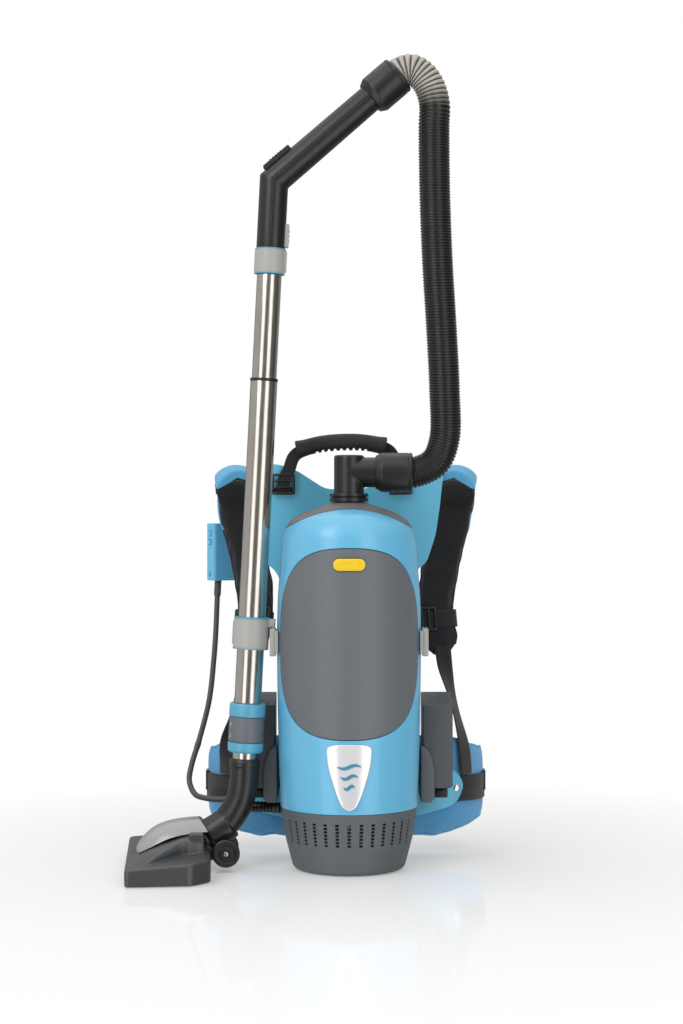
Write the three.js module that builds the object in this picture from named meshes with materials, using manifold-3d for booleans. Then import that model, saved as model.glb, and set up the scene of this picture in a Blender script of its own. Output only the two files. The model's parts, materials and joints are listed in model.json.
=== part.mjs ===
// Backpack vacuum cleaner: canister on a harness, with its hose and a parked telescopic wand.
// Millimetres, +Z up. The origin is the middle of the canister's base on the floor. -Y is the
// side with the front cover, +Y is the wearer's side, and the wand is parked on the -X side.

import * as THREE from 'three';
import { mergeVertices } from 'three/addons/utils/BufferGeometryUtils.js';
import Module from 'manifold-3d';

const wasm = await Module();
wasm.setup();

const { sin, cos, abs, sign, atan, PI } = Math;
const radians = THREE.MathUtils.degToRad;
const point = (x, y, z) => new THREE.Vector3(x, y, z);
const count = n => [...Array(n).keys()];
const X_AXIS = point(1, 0, 0), Y_AXIS = point(0, 1, 0), Z_AXIS = point(0, 0, 1);
const QUARTER = PI / 2;

// ---- driving dimensions ----
const GAP = 0.4;              // clearance between fixed neighbours
const WALL = 3;               // moulded wall thickness
const CANISTER_R = 93.5;      // widest radius of the canister
const BASE_H = 80.6;          // height of the grey base
// outside of the blue body and its dome, as [radius, height]
const BODY_OUTLINE = [[88.8, 81], [91.8, 170], [93.5, 280], [92.8, 345], [90.3, 382], [86.6, 428],
  [80, 441], [73.6, 451], [62, 458.6], [38, 469], [21, 474.5]];
const CAP_Z = 445;            // height of the cap's slanted joint on the axis
const CAP_SLOPE = atan(0.51); // the joint falls towards the wearer
const COVER_Z = 295.6;        // middle of the front cover
const COVER_HALF = [117, 120];   // half width along the wall, half height
const COVER_GAP = 1.6;
const INLET_Z = 513.5;        // axis of the elbow's side branch
const PIPE_R = 19.5;          // elbow
const GRIP_R = 18.8;          // grip tube
const CUFF = { r: 25.5, bore: 21, length: 48 };
const HOSE_R = 20;
const WAND_LEAN = atan(0.0505);  // the parked wand leans towards the canister
const WAND_FOOT = point(-141.95, -12, 0);
const TUBE_R = 16;            // 32 mm inner tube
const SLEEVE_R = 17.5;        // 35 mm outer tube
const BEND_Z = 891;           // corner of the grip, along the wand
const ARM_ANGLE = radians(46.5); // grip arm, from the wand's axis
const ARM_CUFF = 164.4;       // start of the upper cuff, along the arm
const SWIVEL = point(-180, -12, 43);     // middle of the floor tool's swivel
const SWIVEL_DIP = radians(35);          // its axis points forwards and down
const WHEEL = { x: -160, z: 24.5, r: 17.9, inner: 23, width: 10 };
const TILT = point(-203, -12, 34);       // pivot between knuckle and floor tool
const TOOL = { place: point(-287, -17.5, 0), yaw: radians(4.55), width: 264, depth: 107 };
const BRUSH = { half: 117, width: 7, front: 14, rear: 73 };
const HARNESS_X = -4;         // middle of the harness
const PLATE_Y = 96;           // front face of the back plate
const PLATE_T = 6;
const BELT_Z = 92;            // middle height of the hip belt

// ---- materials ----
const finish = (color, roughness, metalness = 0) =>
  new THREE.MeshStandardMaterial({ color, roughness, metalness });
const BLUE = 0x5fb0d3, TEAL = 0x58a9c6, GREY = 0x5f656a, BASE_GREY = 0x545a5d, CAP_GREY = 0x7a7474;
const YELLOW = 0xe9c231, PEARL = 0xe6e4e4, LIGHT_GREY = 0xa2a09d, BLACK = 0x28282a, FABRIC = 0x232323;
const STEEL = 0xc4c2be, BELT_BLUE = 0x4b82af, BATTERY_GREY = 0x505458, PAPER = 0xd8cdb8;

// ---- shape helpers ----

// One closed body: shared vertices merged, degenerate faces dropped, faces pointing out.
function closed(geometry) {
  const bare = geometry.clone();
  bare.deleteAttribute('normal');
  bare.deleteAttribute('uv');
  const merged = mergeVertices(bare, 1e-4);
  const { array } = merged.attributes.position;
  const at = i => point(array[3 * i], array[3 * i + 1], array[3 * i + 2]);
  let faces = [];
  let volume = 0;
  for (let i = 0; i < merged.index.count; i += 3) {
    const [a, b, c] = [0, 1, 2].map(k => merged.index.getX(i + k));
    if (a === b || b === c || c === a) continue;
    faces.push(a, b, c);
    volume += at(a).dot(at(b).cross(at(c)));
  }
  if (volume < 0) faces = faces.flatMap((v, i) => (i % 3 ? [] : [v, faces[i + 2], faces[i + 1]]));
  merged.setIndex(faces);
  return merged;
}

function asManifold(geometry) {
  const { attributes, index } = closed(geometry);
  const vertProperties = new Float32Array(attributes.position.array);
  const triVerts = new Uint32Array(index.array);
  return new wasm.Manifold(new wasm.Mesh({ numProp: 3, vertProperties, triVerts }));
}

function asGeometry(manifold) {
  const { vertProperties, triVerts } = manifold.getMesh();
  const geometry = new THREE.BufferGeometry();
  geometry.setAttribute('position', new THREE.BufferAttribute(vertProperties, 3));
  geometry.setIndex(new THREE.BufferAttribute(triVerts, 1));
  return geometry;
}

const combine = (how, first, others) =>
  asGeometry(others.reduce((body, other) => body[how](asManifold(other)), asManifold(first)));
const cut = (body, ...tools) => combine('subtract', body, tools);
const join = (body, ...others) => combine('add', body, others);
const common = (body, ...others) => combine('intersect', body, others);

// A body of revolution about Z from [radius, height] points; a loop closes on its first point.
function turned(points, sides = 16) {
  const profile = points.map(([r, z]) => new THREE.Vector2(r, z));
  return new THREE.LatheGeometry(profile, sides).rotateX(QUARTER);
}

const ring = (inner, outer, low, high, sides = 16) =>
  turned([[inner, low], [outer, low], [outer, high], [inner, high], [inner, low]], sides);

const rod = (r, low, high, sides = 16) => turned([[0, low], [r, low], [r, high], [0, high]], sides);

// A box between two corners.
function block([x0, y0, z0], [x1, y1, z1]) {
  return new THREE.BoxGeometry(x1 - x0, y1 - y0, z1 - z0)
    .translate((x0 + x1) / 2, (y0 + y1) / 2, (z0 + z1) / 2);
}

// A closed skin over rings with equal numbers of points, capped at its two ends.
function loft(rings) {
  const n = rings[0].length;
  const ends = [rings[0], rings.at(-1)].map(r =>
    r.reduce((sum, p) => sum.add(p), point(0, 0, 0)).divideScalar(n));
  const vertices = [...rings.flat(), ...ends];
  const faces = [];
  for (const i of count(rings.length - 1)) {
    for (const j of count(n)) {
      const next = (j + 1) % n;
      const [a, b, c, d] = [i * n + j, i * n + next, (i + 1) * n + next, (i + 1) * n + j];
      faces.push(a, b, c, a, c, d);
    }
  }
  const last = (rings.length - 1) * n;
  for (const j of count(n)) {
    const next = (j + 1) % n;
    faces.push(next, j, rings.length * n, last + j, last + next, rings.length * n + 1);
  }
  const geometry = new THREE.BufferGeometry().setFromPoints(vertices);
  geometry.setIndex(faces);
  return geometry;
}

// A round tube along a curve; without a bore it is a solid cord.
function pipe(curve, outer, inner, steps, sides = 12) {
  const shape = new THREE.Shape().absarc(0, 0, outer, 0, 2 * PI);
  if (inner) shape.holes.push(new THREE.Path().absarc(0, 0, inner, 0, 2 * PI, true));
  return new THREE.ExtrudeGeometry(shape, { extrudePath: curve, steps, curveSegments: sides / 2 });
}

// A flat padded band along a path. across turns from its first direction to its second.
function band(path, { across, width, thickness, steps }) {
  const curve = new THREE.CatmullRomCurve3(path.map(p => point(...p)), false, 'centripetal');
  const rings = count(steps + 1).map(i => {
    const t = i / steps;
    const middle = curve.getPointAt(t);
    const along = curve.getTangentAt(t);
    const side = across[0].clone().lerp(across[1] ?? across[0], t);
    side.addScaledVector(along, -side.dot(along)).normalize();
    const up = along.clone().cross(side);
    const [w, h] = [width(t) / 2, thickness / 2];
    const c = 0.35 * thickness;
    const corners = thickness > 3
      ? [[w - c, h], [w, h - c], [w, c - h], [w - c, -h], [c - w, -h], [-w, c - h], [-w, h - c],
        [c - w, h]]
      : [[w, h], [w, -h], [-w, -h], [-w, h]];
    return corners.map(([a, b]) =>
      middle.clone().addScaledVector(side, a).addScaledVector(up, b));
  });
  return loft(rings);
}

const polygon = points => new THREE.Shape(points.map(([x, y]) => new THREE.Vector2(x, y)));

// A prism of an outline in the XZ plane, between two places along Y.
function plate(shape, front, back, curveSegments = 6) {
  const depth = back - front;
  return new THREE.ExtrudeGeometry(shape, { depth, bevelEnabled: false, curveSegments })
    .rotateX(QUARTER).translate(0, back, 0);
}

// An upright prism with rounded corners, standing between two corners.
function roundedBlock([x0, y0, z0], [x1, y1, z1], r) {
  const shape = new THREE.Shape()
    .absarc(x1 - r, y1 - r, r, 0, QUARTER)
    .absarc(x0 + r, y1 - r, r, QUARTER, PI)
    .absarc(x0 + r, y0 + r, r, PI, 3 * QUARTER)
    .absarc(x1 - r, y0 + r, r, 3 * QUARTER, 4 * QUARTER);
  const depth = z1 - z0;
  return new THREE.ExtrudeGeometry(shape, { depth, bevelEnabled: false, curveSegments: 2 })
    .translate(0, 0, z0);
}

const superellipse = (a, b, power, points) => count(points).map(i => {
  const turn = 2 * PI * i / points;
  const bulge = value => sign(value) * abs(value) ** (2 / power);
  return [a * bulge(cos(turn)), b * bulge(sin(turn))];
});

// Radius of the canister's outside at a height.
function bodyRadius(z) {
  const above = Math.max(1, BODY_OUTLINE.findIndex(([, height]) => height >= z));
  const [[r0, z0], [r1, z1]] = BODY_OUTLINE.slice(above - 1, above + 1);
  return r0 + (r1 - r0) * (z - z0) / (z1 - z0);
}

// A panel that follows the canister's wall, between two distances from its outside. The outline
// holds [distance along the wall, height] points round the panel's middle.
function wallPanel(outline, middle, outside, inside, steps) {
  const surface = (share, stand) => outline.map(([arc, z]) => {
    const height = middle + z * share;
    const angle = arc * share / CANISTER_R - QUARTER;
    const r = bodyRadius(height) + stand;
    return point(r * cos(angle), r * sin(angle), height);
  });
  const shares = count(steps).map(i => (i + 1) / steps);
  return loft([...shares.map(s => surface(s, inside)),
    ...shares.reverse().map(s => surface(s, outside))]);
}

// ---- the object and its moving groups ----
const vacuum = new THREE.Group();
const wand = new THREE.Group();
wand.position.copy(WAND_FOOT);
wand.rotation.y = WAND_LEAN;
const arm = new THREE.Group();
arm.position.z = BEND_Z;
arm.rotation.y = ARM_ANGLE;
const tool = new THREE.Group();
tool.position.copy(TOOL.place);
tool.rotation.z = TOOL.yaw;
wand.add(arm);
vacuum.add(wand, tool);

function add(parent, name, geometry, material) {
  const mesh = new THREE.Mesh(closed(geometry), material);
  mesh.name = name;
  parent.add(mesh);
}

// ---- canister ----
function offsetOutline(points, distance) {
  return points.map(([r, z], i) => {
    const [r0, z0] = points[Math.max(i - 1, 0)];
    const [r1, z1] = points[Math.min(i + 1, points.length - 1)];
    const length = Math.hypot(r1 - r0, z1 - z0);
    return [r - distance * (z1 - z0) / length, z + distance * (r1 - r0) / length];
  });
}

function buildCanister() {
  const mouth = BODY_OUTLINE.at(-1)[0];
  const inside = offsetOutline(BODY_OUTLINE, WALL).map(([r, z]) => [Math.max(r, mouth), z]);
  const body = turned([...BODY_OUTLINE, ...inside.reverse(), BODY_OUTLINE[0]], 32);
  const aboveJoint = shift => new THREE.BoxGeometry(400, 400, 200).translate(0, 0, 100)
    .rotateX(-CAP_SLOPE).translate(0, 0, CAP_Z + shift);
  const coverOutline = grow => superellipse(COVER_HALF[0] + grow, COVER_HALF[1] + grow, 2.5, 32);
  const opening = wallPanel(coverOutline(COVER_GAP), COVER_Z, 15, -15, 3);
  add(vacuum, 'main_shell', cut(body, aboveJoint(-GAP / 2), opening), finish(BLUE, 0.35));
  add(vacuum, 'top_cap', common(body, aboveJoint(GAP / 2)), finish(CAP_GREY, 0.5));

  const latchZ = 395.5;
  const stadium = grow => {
    const r = 7.85 + grow;
    return new THREE.Shape().absarc(12.65, latchZ, r, -QUARTER, QUARTER)
      .absarc(-12.65, latchZ, r, QUARTER, 3 * QUARTER);
  };
  const latchFace = -bodyRadius(latchZ) - 2.6;
  const cover = wallPanel(coverOutline(0), COVER_Z, 0.2, -WALL, 5);
  const latchSlot = plate(stadium(0.6), latchFace - 20, latchFace + 20, 4);
  add(vacuum, 'front_cover', cut(cover, latchSlot), finish(GREY, 0.55));
  add(vacuum, 'cover_latch', plate(stadium(0), latchFace, latchFace + 10, 4), finish(YELLOW, 0.4));

  const side = [[0, 42], [10, 42], [20, 42], [29.5, 42], [28, 30], [23, 12], [18, -10], [12, -34],
    [6, -40]];
  const shield = [...side, [0, -42], ...side.slice(1).reverse().map(([x, z]) => [-x, z])];
  add(vacuum, 'badge_plate', wallPanel(shield, 128, 2, 0.9, 3), finish(PEARL, 0.25));
}

function buildBase() {
  const cup = [[0, 0], [69, 0], [72.7, 3], [82.6, 41], [88.5, BASE_H], [88.5 - WALL, BASE_H],
    [82.6 - WALL, 41], [70, 5], [0, 5]];
  const vent = count(13).map(i => new THREE.BoxGeometry(4.5, 30, 31)
    .translate(0, -82, 53.5).rotateZ(radians(10.4 * (i - 6))));
  add(vacuum, 'base_housing', cut(turned(cup, 32), ...vent), finish(BASE_GREY, 0.6));
}

function buildInside() {
  const bag = [[24, 424], [60, 420], [68, 400], [68, 200], [55, 182], [0, 180], [0, 182], [54, 184],
    [66, 201], [66, 399], [59, 418], [24, 422], [24, 424]];
  add(vacuum, 'dust_bag', turned(bag), finish(PAPER, 0.95));
  const deck = ring(20, 82, 168, 172);
  const motor = turned([[4, 62], [38, 62], [38, 110], [30, 118], [4, 118], [4, 62]]);
  const post = count(3).map(i => rod(4, 61, 169, 8).translate(58, 0, 0).rotateZ(2 * PI * i / 3));
  const bracket = count(3).map(i => block([30, -4, 64], [58, 4, 70]).rotateZ(2 * PI * i / 3));
  add(vacuum, 'motor_unit', join(motor, deck, ...post, ...bracket), finish(BLACK, 0.5, 0.3));
  const blade = count(8).map(i => block([8, -1, 136], [48, 1, 149]).rotateZ(2 * PI * i / 8));
  add(vacuum, 'fan_impeller', join(rod(3, 50, 151, 12), rod(10, 130, 152),
    rod(50, 132, 138), ...blade), finish(STEEL, 0.4, 0.8));
  add(vacuum, 'exhaust_filter', ring(46, 62, 6, 34), finish(PAPER, 0.9));
}

function buildLugs() {
  for (const [name, side] of [['parking_lug_left', -1], ['parking_lug_right', 1]]) {
    const [near, far] = [94.4, 102.4];
    const body = block([near, -26, 276], [far, 2, 312]);
    const pocket = block([96.1, -21, 296], [100.9, -3, 313]);
    const lug = cut(body, pocket);
    add(vacuum, name, side > 0 ? lug : lug.scale(-1, 1, 1), finish(LIGHT_GREY, 0.5));
  }
}

// ---- inlet, hose and cuffs ----
const cuffBody = () => turned([[CUFF.bore, 0], [23.5, 0], [CUFF.r, 3], [CUFF.r, CUFF.length],
  [CUFF.bore + 2, CUFF.length], [CUFF.bore, CUFF.length - 6], [CUFF.bore, 0]], 20);

// A point on the grip arm, by its distance from the bend.
function onArm(distance) {
  const lean = WAND_LEAN + ARM_ANGLE;
  return WAND_FOOT.clone().add(point(sin(WAND_LEAN), 0, cos(WAND_LEAN)).multiplyScalar(BEND_Z))
    .add(point(sin(lean), 0, cos(lean)).multiplyScalar(distance));
}

function buildInlet() {
  add(vacuum, 'neck_ring', ring(20.5, 25, 475.6, 485), finish(BLACK, 0.35));
  const upright = turned([[0, 428], [PIPE_R, 428], [PIPE_R, 531], [15, 536], [0, 536]]);
  const sideways = (r, from, to) => rod(r, from, to).rotateY(QUARTER).translate(0, 0, INLET_Z);
  const bore = PIPE_R - WALL;
  const elbow = cut(join(upright, sideways(PIPE_R, 0, 64)), rod(bore, 427, 529),
    sideways(bore, 0, 65));
  add(vacuum, 'inlet_elbow', elbow, finish(BLACK, 0.4));
  const lowerCuff = cuffBody().rotateY(QUARTER).translate(34.5, 0, INLET_Z);
  add(vacuum, 'hose_cuff_lower', lowerCuff, finish(BLACK, 0.45));
  add(arm, 'hose_cuff_upper', cuffBody().translate(0, 0, ARM_CUFF), finish(BLACK, 0.45));
}

function buildHose() {
  const intoCuff = [51, 43, 34].map(depth => onArm(ARM_CUFF + depth));
  const rise = [[68, 0, INLET_Z], [84, 0, INLET_Z], [111.4, -0.5, 526.6], [124, -1, 557],
    [124, -2, 621], [120, -4, 700], [114.5, -6, 790], [111, -9, 880], [110, -11, 960],
    [110.5, -12, 990], [105, -12, 1011], [95, -12, 1026], [82, -12, 1034]];
  const points = [...rise.map(p => point(...p)), ...intoCuff];
  const curve = new THREE.CatmullRomCurve3(points, false, 'centripetal');
  add(vacuum, 'hose', pipe(curve, HOSE_R, HOSE_R - 2.5, 28, 10), finish(BLACK, 0.4));
}

// ---- wand, from the grip down ----
function buildHandle() {
  const corner = point(0, 0, BEND_Z);
  const out = point(sin(ARM_ANGLE), 0, cos(ARM_ANGLE));
  const easing = 20;
  const gripEnd = ARM_CUFF + 20;
  const [collarFoot, collarTop] = [771, 803];
  const path = new THREE.CurvePath();
  const turnIn = point(0, 0, BEND_Z - easing);
  const turnOut = corner.clone().addScaledVector(out, easing);
  path.add(new THREE.LineCurve3(point(0, 0, collarTop + GAP), turnIn));
  path.add(new THREE.QuadraticBezierCurve3(turnIn, corner, turnOut));
  path.add(new THREE.LineCurve3(turnOut, corner.clone().addScaledVector(out, gripEnd)));
  const grip = pipe(path, GRIP_R, TUBE_R + GAP, 13);
  add(wand, 'wand_handle', grip, finish(BLACK, 0.45));
  add(arm, 'suction_slider', block([-24.5, -9, 8], [-19.4, 9, 44]), finish(BLACK, 0.5));
  add(wand, 'handle_latch', block([20.4, -6, collarTop + 3], [23.6, 6, collarTop + 33]),
    finish(LIGHT_GREY, 0.5));
  add(wand, 'handle_collar', ring(TUBE_R + 0.6, 19.8, collarFoot, collarTop),
    finish(LIGHT_GREY, 0.5));
}

function buildTubes() {
  const steel = () => finish(STEEL, 0.25, 1);
  add(wand, 'upper_tube', ring(TUBE_R - 1, TUBE_R, 430, 803.2), steel());
  add(wand, 'tube_end_ring', ring(TUBE_R + 0.5, 17.9, 632, 635.4), finish(BLACK, 0.5));
  add(wand, 'lower_tube', ring(TUBE_R + 0.4, SLEEVE_R, 152, 631.6), steel());
  const clip = ring(SLEEVE_R + GAP, 23, 285.7, 325.9);
  const hook = block([19, -8, 314.5], [30.5, 8, 325.5]);
  const lip = block([26.4, -8, 301], [29.4, 8, 315]);
  add(wand, 'wand_clip', join(clip, hook, lip), finish(LIGHT_GREY, 0.5));
  const waist = 19.6;
  const spool = turned([[SLEEVE_R + GAP, 152], [21, 150], [23, 153], [23, 164.8], [waist, 164.8],
    [waist, 196.3], [23.2, 196.3], [23.2, 214], [SLEEVE_R + GAP, 214], [SLEEVE_R + GAP, 152]]);
  add(wand, 'lock_collar', spool, finish(TEAL, 0.4));
  add(wand, 'lock_sleeve', ring(waist + 0.6, 22.5, 165.3, 195.8), finish(GREY, 0.5));
  add(wand, 'neck_tube', ring(TUBE_R - 1, TUBE_R, 126, 250), steel());
}

// ---- floor tool ----
// Moves a body made about Z onto the inclined swivel axis, so that +Z points down the axis.
const onSwivel = geometry => geometry.rotateY(-(QUARTER + SWIVEL_DIP)).translate(...SWIVEL);

// Turns a body about the upright through the swivel, to lie square to the floor tool.
const squareToTool = geometry => geometry.translate(-SWIVEL.x, -SWIVEL.y, 0).rotateZ(TOOL.yaw)
  .translate(SWIVEL.x, SWIVEL.y, 0);

// A round bar along Y between two distances either side of a middle.
const crossBar = (r, half, at, sides = 16) =>
  rod(r, -half, half, sides).rotateX(QUARTER).translate(at.x, at.y, at.z);

function buildNeck() {
  const middle = SWIVEL.y;
  const path = [[-134.9, 141], [-136.4, 112], [-143, 84], [-157, 62], [-171, 49.5], [-180, 43.2]]
    .map(([x, z]) => point(x, middle, z));
  const bend = new THREE.CatmullRomCurve3(path, false, 'centripetal');
  const cup = onSwivel(ring(14, 22, -30, -1));
  const neck = pipe(bend, 19, TUBE_R + 1, 7);
  const past = onSwivel(rod(30, -1, 30));
  add(vacuum, 'neck_elbow', cut(join(neck, cup), past), finish(BLACK, 0.35));
}

function buildKnuckle() {
  const drum = onSwivel(rod(15.5, 0, 15));
  const axle = point(WHEEL.x, TILT.y, WHEEL.z);
  const web = polygon([[-177, 28], [-166, 24.6], [-157, 27], [-155, 20.5], [-162, 17.5],
    [-178, 14], [-204, 27], [-208, 36], [-200, 41]]);
  const arms = [plate(web, TILT.y - 9, TILT.y + 9), crossBar(4, WHEEL.inner - GAP, axle),
    crossBar(3, WHEEL.inner + WHEEL.width + 1.5, axle), crossBar(7.5, 15.4, TILT),
    crossBar(4, 25, TILT)];
  add(vacuum, 'knuckle', join(drum, ...arms.map(squareToTool)), finish(BLACK, 0.4));
  for (const [name, side] of [['wheel_near', -1], ['wheel_far', 1]]) {
    const half = WHEEL.width / 2;
    const tyre = ring(3.5, WHEEL.r, -half, half).rotateX(QUARTER)
      .translate(WHEEL.x, TILT.y + side * (WHEEL.inner + half), WHEEL.z);
    add(vacuum, name, squareToTool(tyre), finish(BLACK, 0.6));
  }
}

function buildFloorTool() {
  const [half, deep] = [TOOL.width / 2, TOOL.depth];
  const pivot = TILT.clone().sub(SWIVEL).applyAxisAngle(Z_AXIS, TOOL.yaw).add(SWIVEL)
    .sub(TOOL.place).applyAxisAngle(Z_AXIS, -TOOL.yaw);
  // a notch through the back of the tool, round its pivot
  const notch = ([x0, z0], [x1, z1], side) =>
    block([x0, pivot.y - side, z0], [x1, pivot.y + side, z1]);
  const baySide = WHEEL.inner + WHEEL.width + 3;
  const back = deep + 20;

  const outline = inset => [[inset, -half + inset], [84, 4 - half + inset], [deep - inset, 28 - half],
    [deep - inset, half - 28], [84, half - 4 - inset], [inset, half - inset]];
  const slot = (x0, x1, y) => new THREE.Path([[x0, -y], [x0, y], [x1, y], [x1, -y]]
    .map(p => new THREE.Vector2(...p)));
  const sole = polygon(outline(0));
  sole.holes.push(slot(BRUSH.front - 1, BRUSH.front + 8, BRUSH.half + 2), slot(36, 58, 70),
    slot(BRUSH.rear - 1, BRUSH.rear + 8, BRUSH.half + 1.4));
  const soleBody = new THREE.ExtrudeGeometry(sole, { depth: 5, bevelEnabled: false });
  add(tool, 'tool_sole', cut(soleBody.translate(0, 0, 1.8), notch([83, -1], [back, 60], baySide)),
    finish(BLACK, 0.6));

  const level = (inset, height) => outline(inset).map(([x, y]) => point(x, y, height(x)));
  const deck = x => 22.5 + 0.065 * x;
  const shell = loft([level(0, () => 7.2), level(0, x => deck(x) - 2), level(3, deck)]);
  const hump = loft([[13, 98, 23.6], [24, 106, 28.5], [44, 84, 37.5], [68, 58, 46.5], [79, 52, 49.5],
    [98, 48, 50]].map(([x, y, top]) => [[-y, 16], [-y, 22], [-0.86 * y, top], [0.86 * y, top],
    [y, 22], [y, 16]].map(([across, z]) => point(x, across, z))));
  const boss = crossBar(9, 27, point(pivot.x, pivot.y, TILT.z));
  const sideRoom = BRUSH.half + 4;
  const cavity = block([11, -sideRoom, 6], [83, sideRoom, 15]);
  const brushWell = [BRUSH.front, BRUSH.rear]
    .map(x => block([x - 2, -sideRoom, 6], [x + 9, sideRoom, 19.2]));
  const pedalWell = plate(polygon([[8, 20.3], [15, 20.8], [24, 26.5], [40, 34.5], [62, 44],
    [80, 47.5], [back, 48], [back, 80], [8, 80]]), -37, 37);
  const body = cut(join(shell, hump, boss), cavity, ...brushWell, pedalWell,
    notch([60, 17], [back, 70], 17), notch([83, -1], [96, 22], baySide),
    notch([96, -1], [back, 60], baySide), crossBar(4.8, 25.8, point(pivot.x, pivot.y, TILT.z)));
  add(tool, 'tool_body', body, finish(BLACK, 0.4));

  const bars = [BRUSH.front, BRUSH.rear]
    .map(x => block([x, -BRUSH.half, 0.8], [x + BRUSH.width, BRUSH.half, 12]));
  const ties = [-BRUSH.half, BRUSH.half - 6]
    .map(y => block([BRUSH.front, y, 7.2], [BRUSH.rear + BRUSH.width, y + 6, 9.7]));
  add(tool, 'brush_frame', join(...bars, ...ties), finish(BLACK, 0.9));

  // an arched hood; each row gives its distance back, half width, top and side edge
  const pedalRow = ([x, y, top, edge]) => {
    const shoulder = edge + 0.6 * (top - edge);
    return [[-y, edge], [-0.92 * y, shoulder], [-0.55 * y, top], [0.55 * y, top],
      [0.92 * y, shoulder], [y, edge], [0.5 * y, top - 4], [-0.5 * y, top - 4]]
      .map(([across, z]) => point(x, across, z));
  };
  const pedal = loft([[12, 22, 28, 24], [16, 27, 36, 25.5], [25, 31, 47.5, 30.5],
    [38, 33, 57.5, 37.5], [52, 34, 62, 44.5], [67, 34, 65.3, 49], [92, 33, 67, 52]].map(pedalRow));
  add(tool, 'foot_pedal', pedal, finish(LIGHT_GREY, 0.35));
}

// ---- harness ----
const mirrored = (geometry, side) =>
  (side < 0 ? geometry.scale(-1, 1, 1) : geometry).translate(HARNESS_X, 0, 0);
const SIDES = [['left', -1], ['right', 1]];

function buildBackPlate() {
  const half = [[62, 30], [64, 250], [78, 350], [96, 384], [109, 394], [119, 430], [124, 470],
    [127, 500], [130, 516], [120, 522], [96, 512], [46, 492]];
  const outline = [...half, ...half.map(([x, z]) => [-x, z]).reverse()];
  const shell = plate(polygon(outline), PLATE_Y, PLATE_Y + PLATE_T).translate(HARNESS_X, 0, 0);
  add(vacuum, 'back_plate', shell, finish(TEAL, 0.4));
}

function buildStraps() {
  const padPath = [[142, 109, 500], [146, 122, 521], [151, 145, 529], [150, 170, 520],
    [147, 186, 488], [142, 191, 440], [135, 188, 380], [127, 180, 320], [122, 168, 264]];
  const webPath = [[122, 164, 257], [136, 142, 212], [158, 119, 165], [167.5, 123, 114]];
  const besideBelt = point(0.7, 0.7, 0);
  for (const [name, side] of SIDES) {
    const pad = band(padPath, { across: [X_AXIS], width: t => 56 - 12 * t, thickness: 13,
      steps: 14 });
    add(vacuum, `shoulder_strap_${name}`, mirrored(pad, side), finish(FABRIC, 0.95));
    const webbing = band(webPath, { across: [X_AXIS, besideBelt], width: () => 25, thickness: 2,
      steps: 8 });
    add(vacuum, `strap_webbing_${name}`, mirrored(webbing, side), finish(FABRIC, 0.9));
    const keeper = cut(block([-29, -12, -16], [29, 12, 16]), block([-26, -8.6, -17], [26, 8.6, 17]))
      .rotateX(radians(-8)).translate(126, 179.4, 314);
    add(vacuum, `strap_keeper_${name}`, mirrored(keeper, side), finish(BLACK, 0.6));
  }
}

function buildBelt() {
  const half = [[0, 111], [60, 111], [110, 114], [150, 124], [171, 145], [176, 172], [164, 205]];
  const whole = points => [...points.slice(1).reverse().map(([x, y]) => [-x, y]), ...points]
    .map(([x, y]) => [x + HARNESS_X, y, BELT_Z]);
  const tall = t => 75 + 57 * sin(PI * t) ** 0.6;
  const pad = band(whole(half), { across: [Z_AXIS], width: tall, thickness: 12, steps: 20 });
  add(vacuum, 'hip_belt', pad, finish(BELT_BLUE, 0.95));
  const bandHalf = [[0, 103.6], [64, 103.6], [112, 106], [154, 116], [179, 141], [184.5, 172],
    [171, 212]];
  const strap = band(whole(bandHalf), { across: [Z_AXIS], width: () => 35, thickness: 1.8,
    steps: 24 });
  add(vacuum, 'hip_band', strap, finish(FABRIC, 0.9));
  for (const [name, side] of SIDES) {
    const buckle = roundedBlock([186.5, 150, 80], [192.5, 178, 106], 2.5);
    add(vacuum, `belt_buckle_${name}`, mirrored(buckle, side), finish(BLACK, 0.5));
  }
}

function buildCarryHandle() {
  const arch = [[-70, 80, 549], [-40, 80, 556.5], [-10, 80, 558.5], [20, 80, 557], [50, 80, 551]];
  const curve = new THREE.CatmullRomCurve3(arch.map(p => point(...p)));
  const grip = pipe(curve, 11.5, 0, 6);
  const strapPath = [[-88, 88, 506], [-82, 85, 530], ...arch, [63, 84, 532], [70, 88, 506]];
  const strap = extra => band(strapPath, { across: [Y_AXIS], width: () => 14 + extra,
    thickness: 2 + extra, steps: 16 });
  add(vacuum, 'carry_grip', cut(grip, strap(1.4)), finish(BLACK, 0.7));
  add(vacuum, 'grip_webbing', strap(0), finish(FABRIC, 0.9));
  for (const [name, x] of [['left', -88], ['right', 70]]) {
    const frame = cut(block([x - 14, 91, 484], [x + 14, 95.4, 503]),
      block([x - 9, 80, 488], [x + 9, 100, 492]), block([x - 9, 80, 495], [x + 9, 100, 499]));
    add(vacuum, `ladder_lock_${name}`, frame, finish(BLACK, 0.5));
  }
}

// ---- batteries, control box and cables ----
function buildBatteries() {
  for (const [name, side] of SIDES) {
    const place = geometry => (side < 0 ? geometry.scale(-1, 1, 1) : geometry);
    const pack = roundedBlock([97, 18, 100], [136, 94.6, 219], 6);
    const slope = new THREE.BoxGeometry(80, 140, 40).rotateX(radians(8)).translate(116, 55, 234);
    add(vacuum, `battery_${name}`, place(cut(pack, slope)), finish(BATTERY_GREY, 0.55));
    const cheek = polygon([[94.2, 82], [108, 82], [112, 86], [112, 112], [110.5, 122], [106, 136],
      [100, 148], [94.2, 156]]);
    const dock = cut(join(plate(cheek, 12.6, 95.4), block([108, 30, 86], [130, 80, 99.4])),
      roundedBlock([96.4, 17.4, 99.4], [136.6, 100, 160], 6));
    add(vacuum, `battery_dock_${name}`, place(dock), finish(BASE_GREY, 0.6));
  }
}

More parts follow.
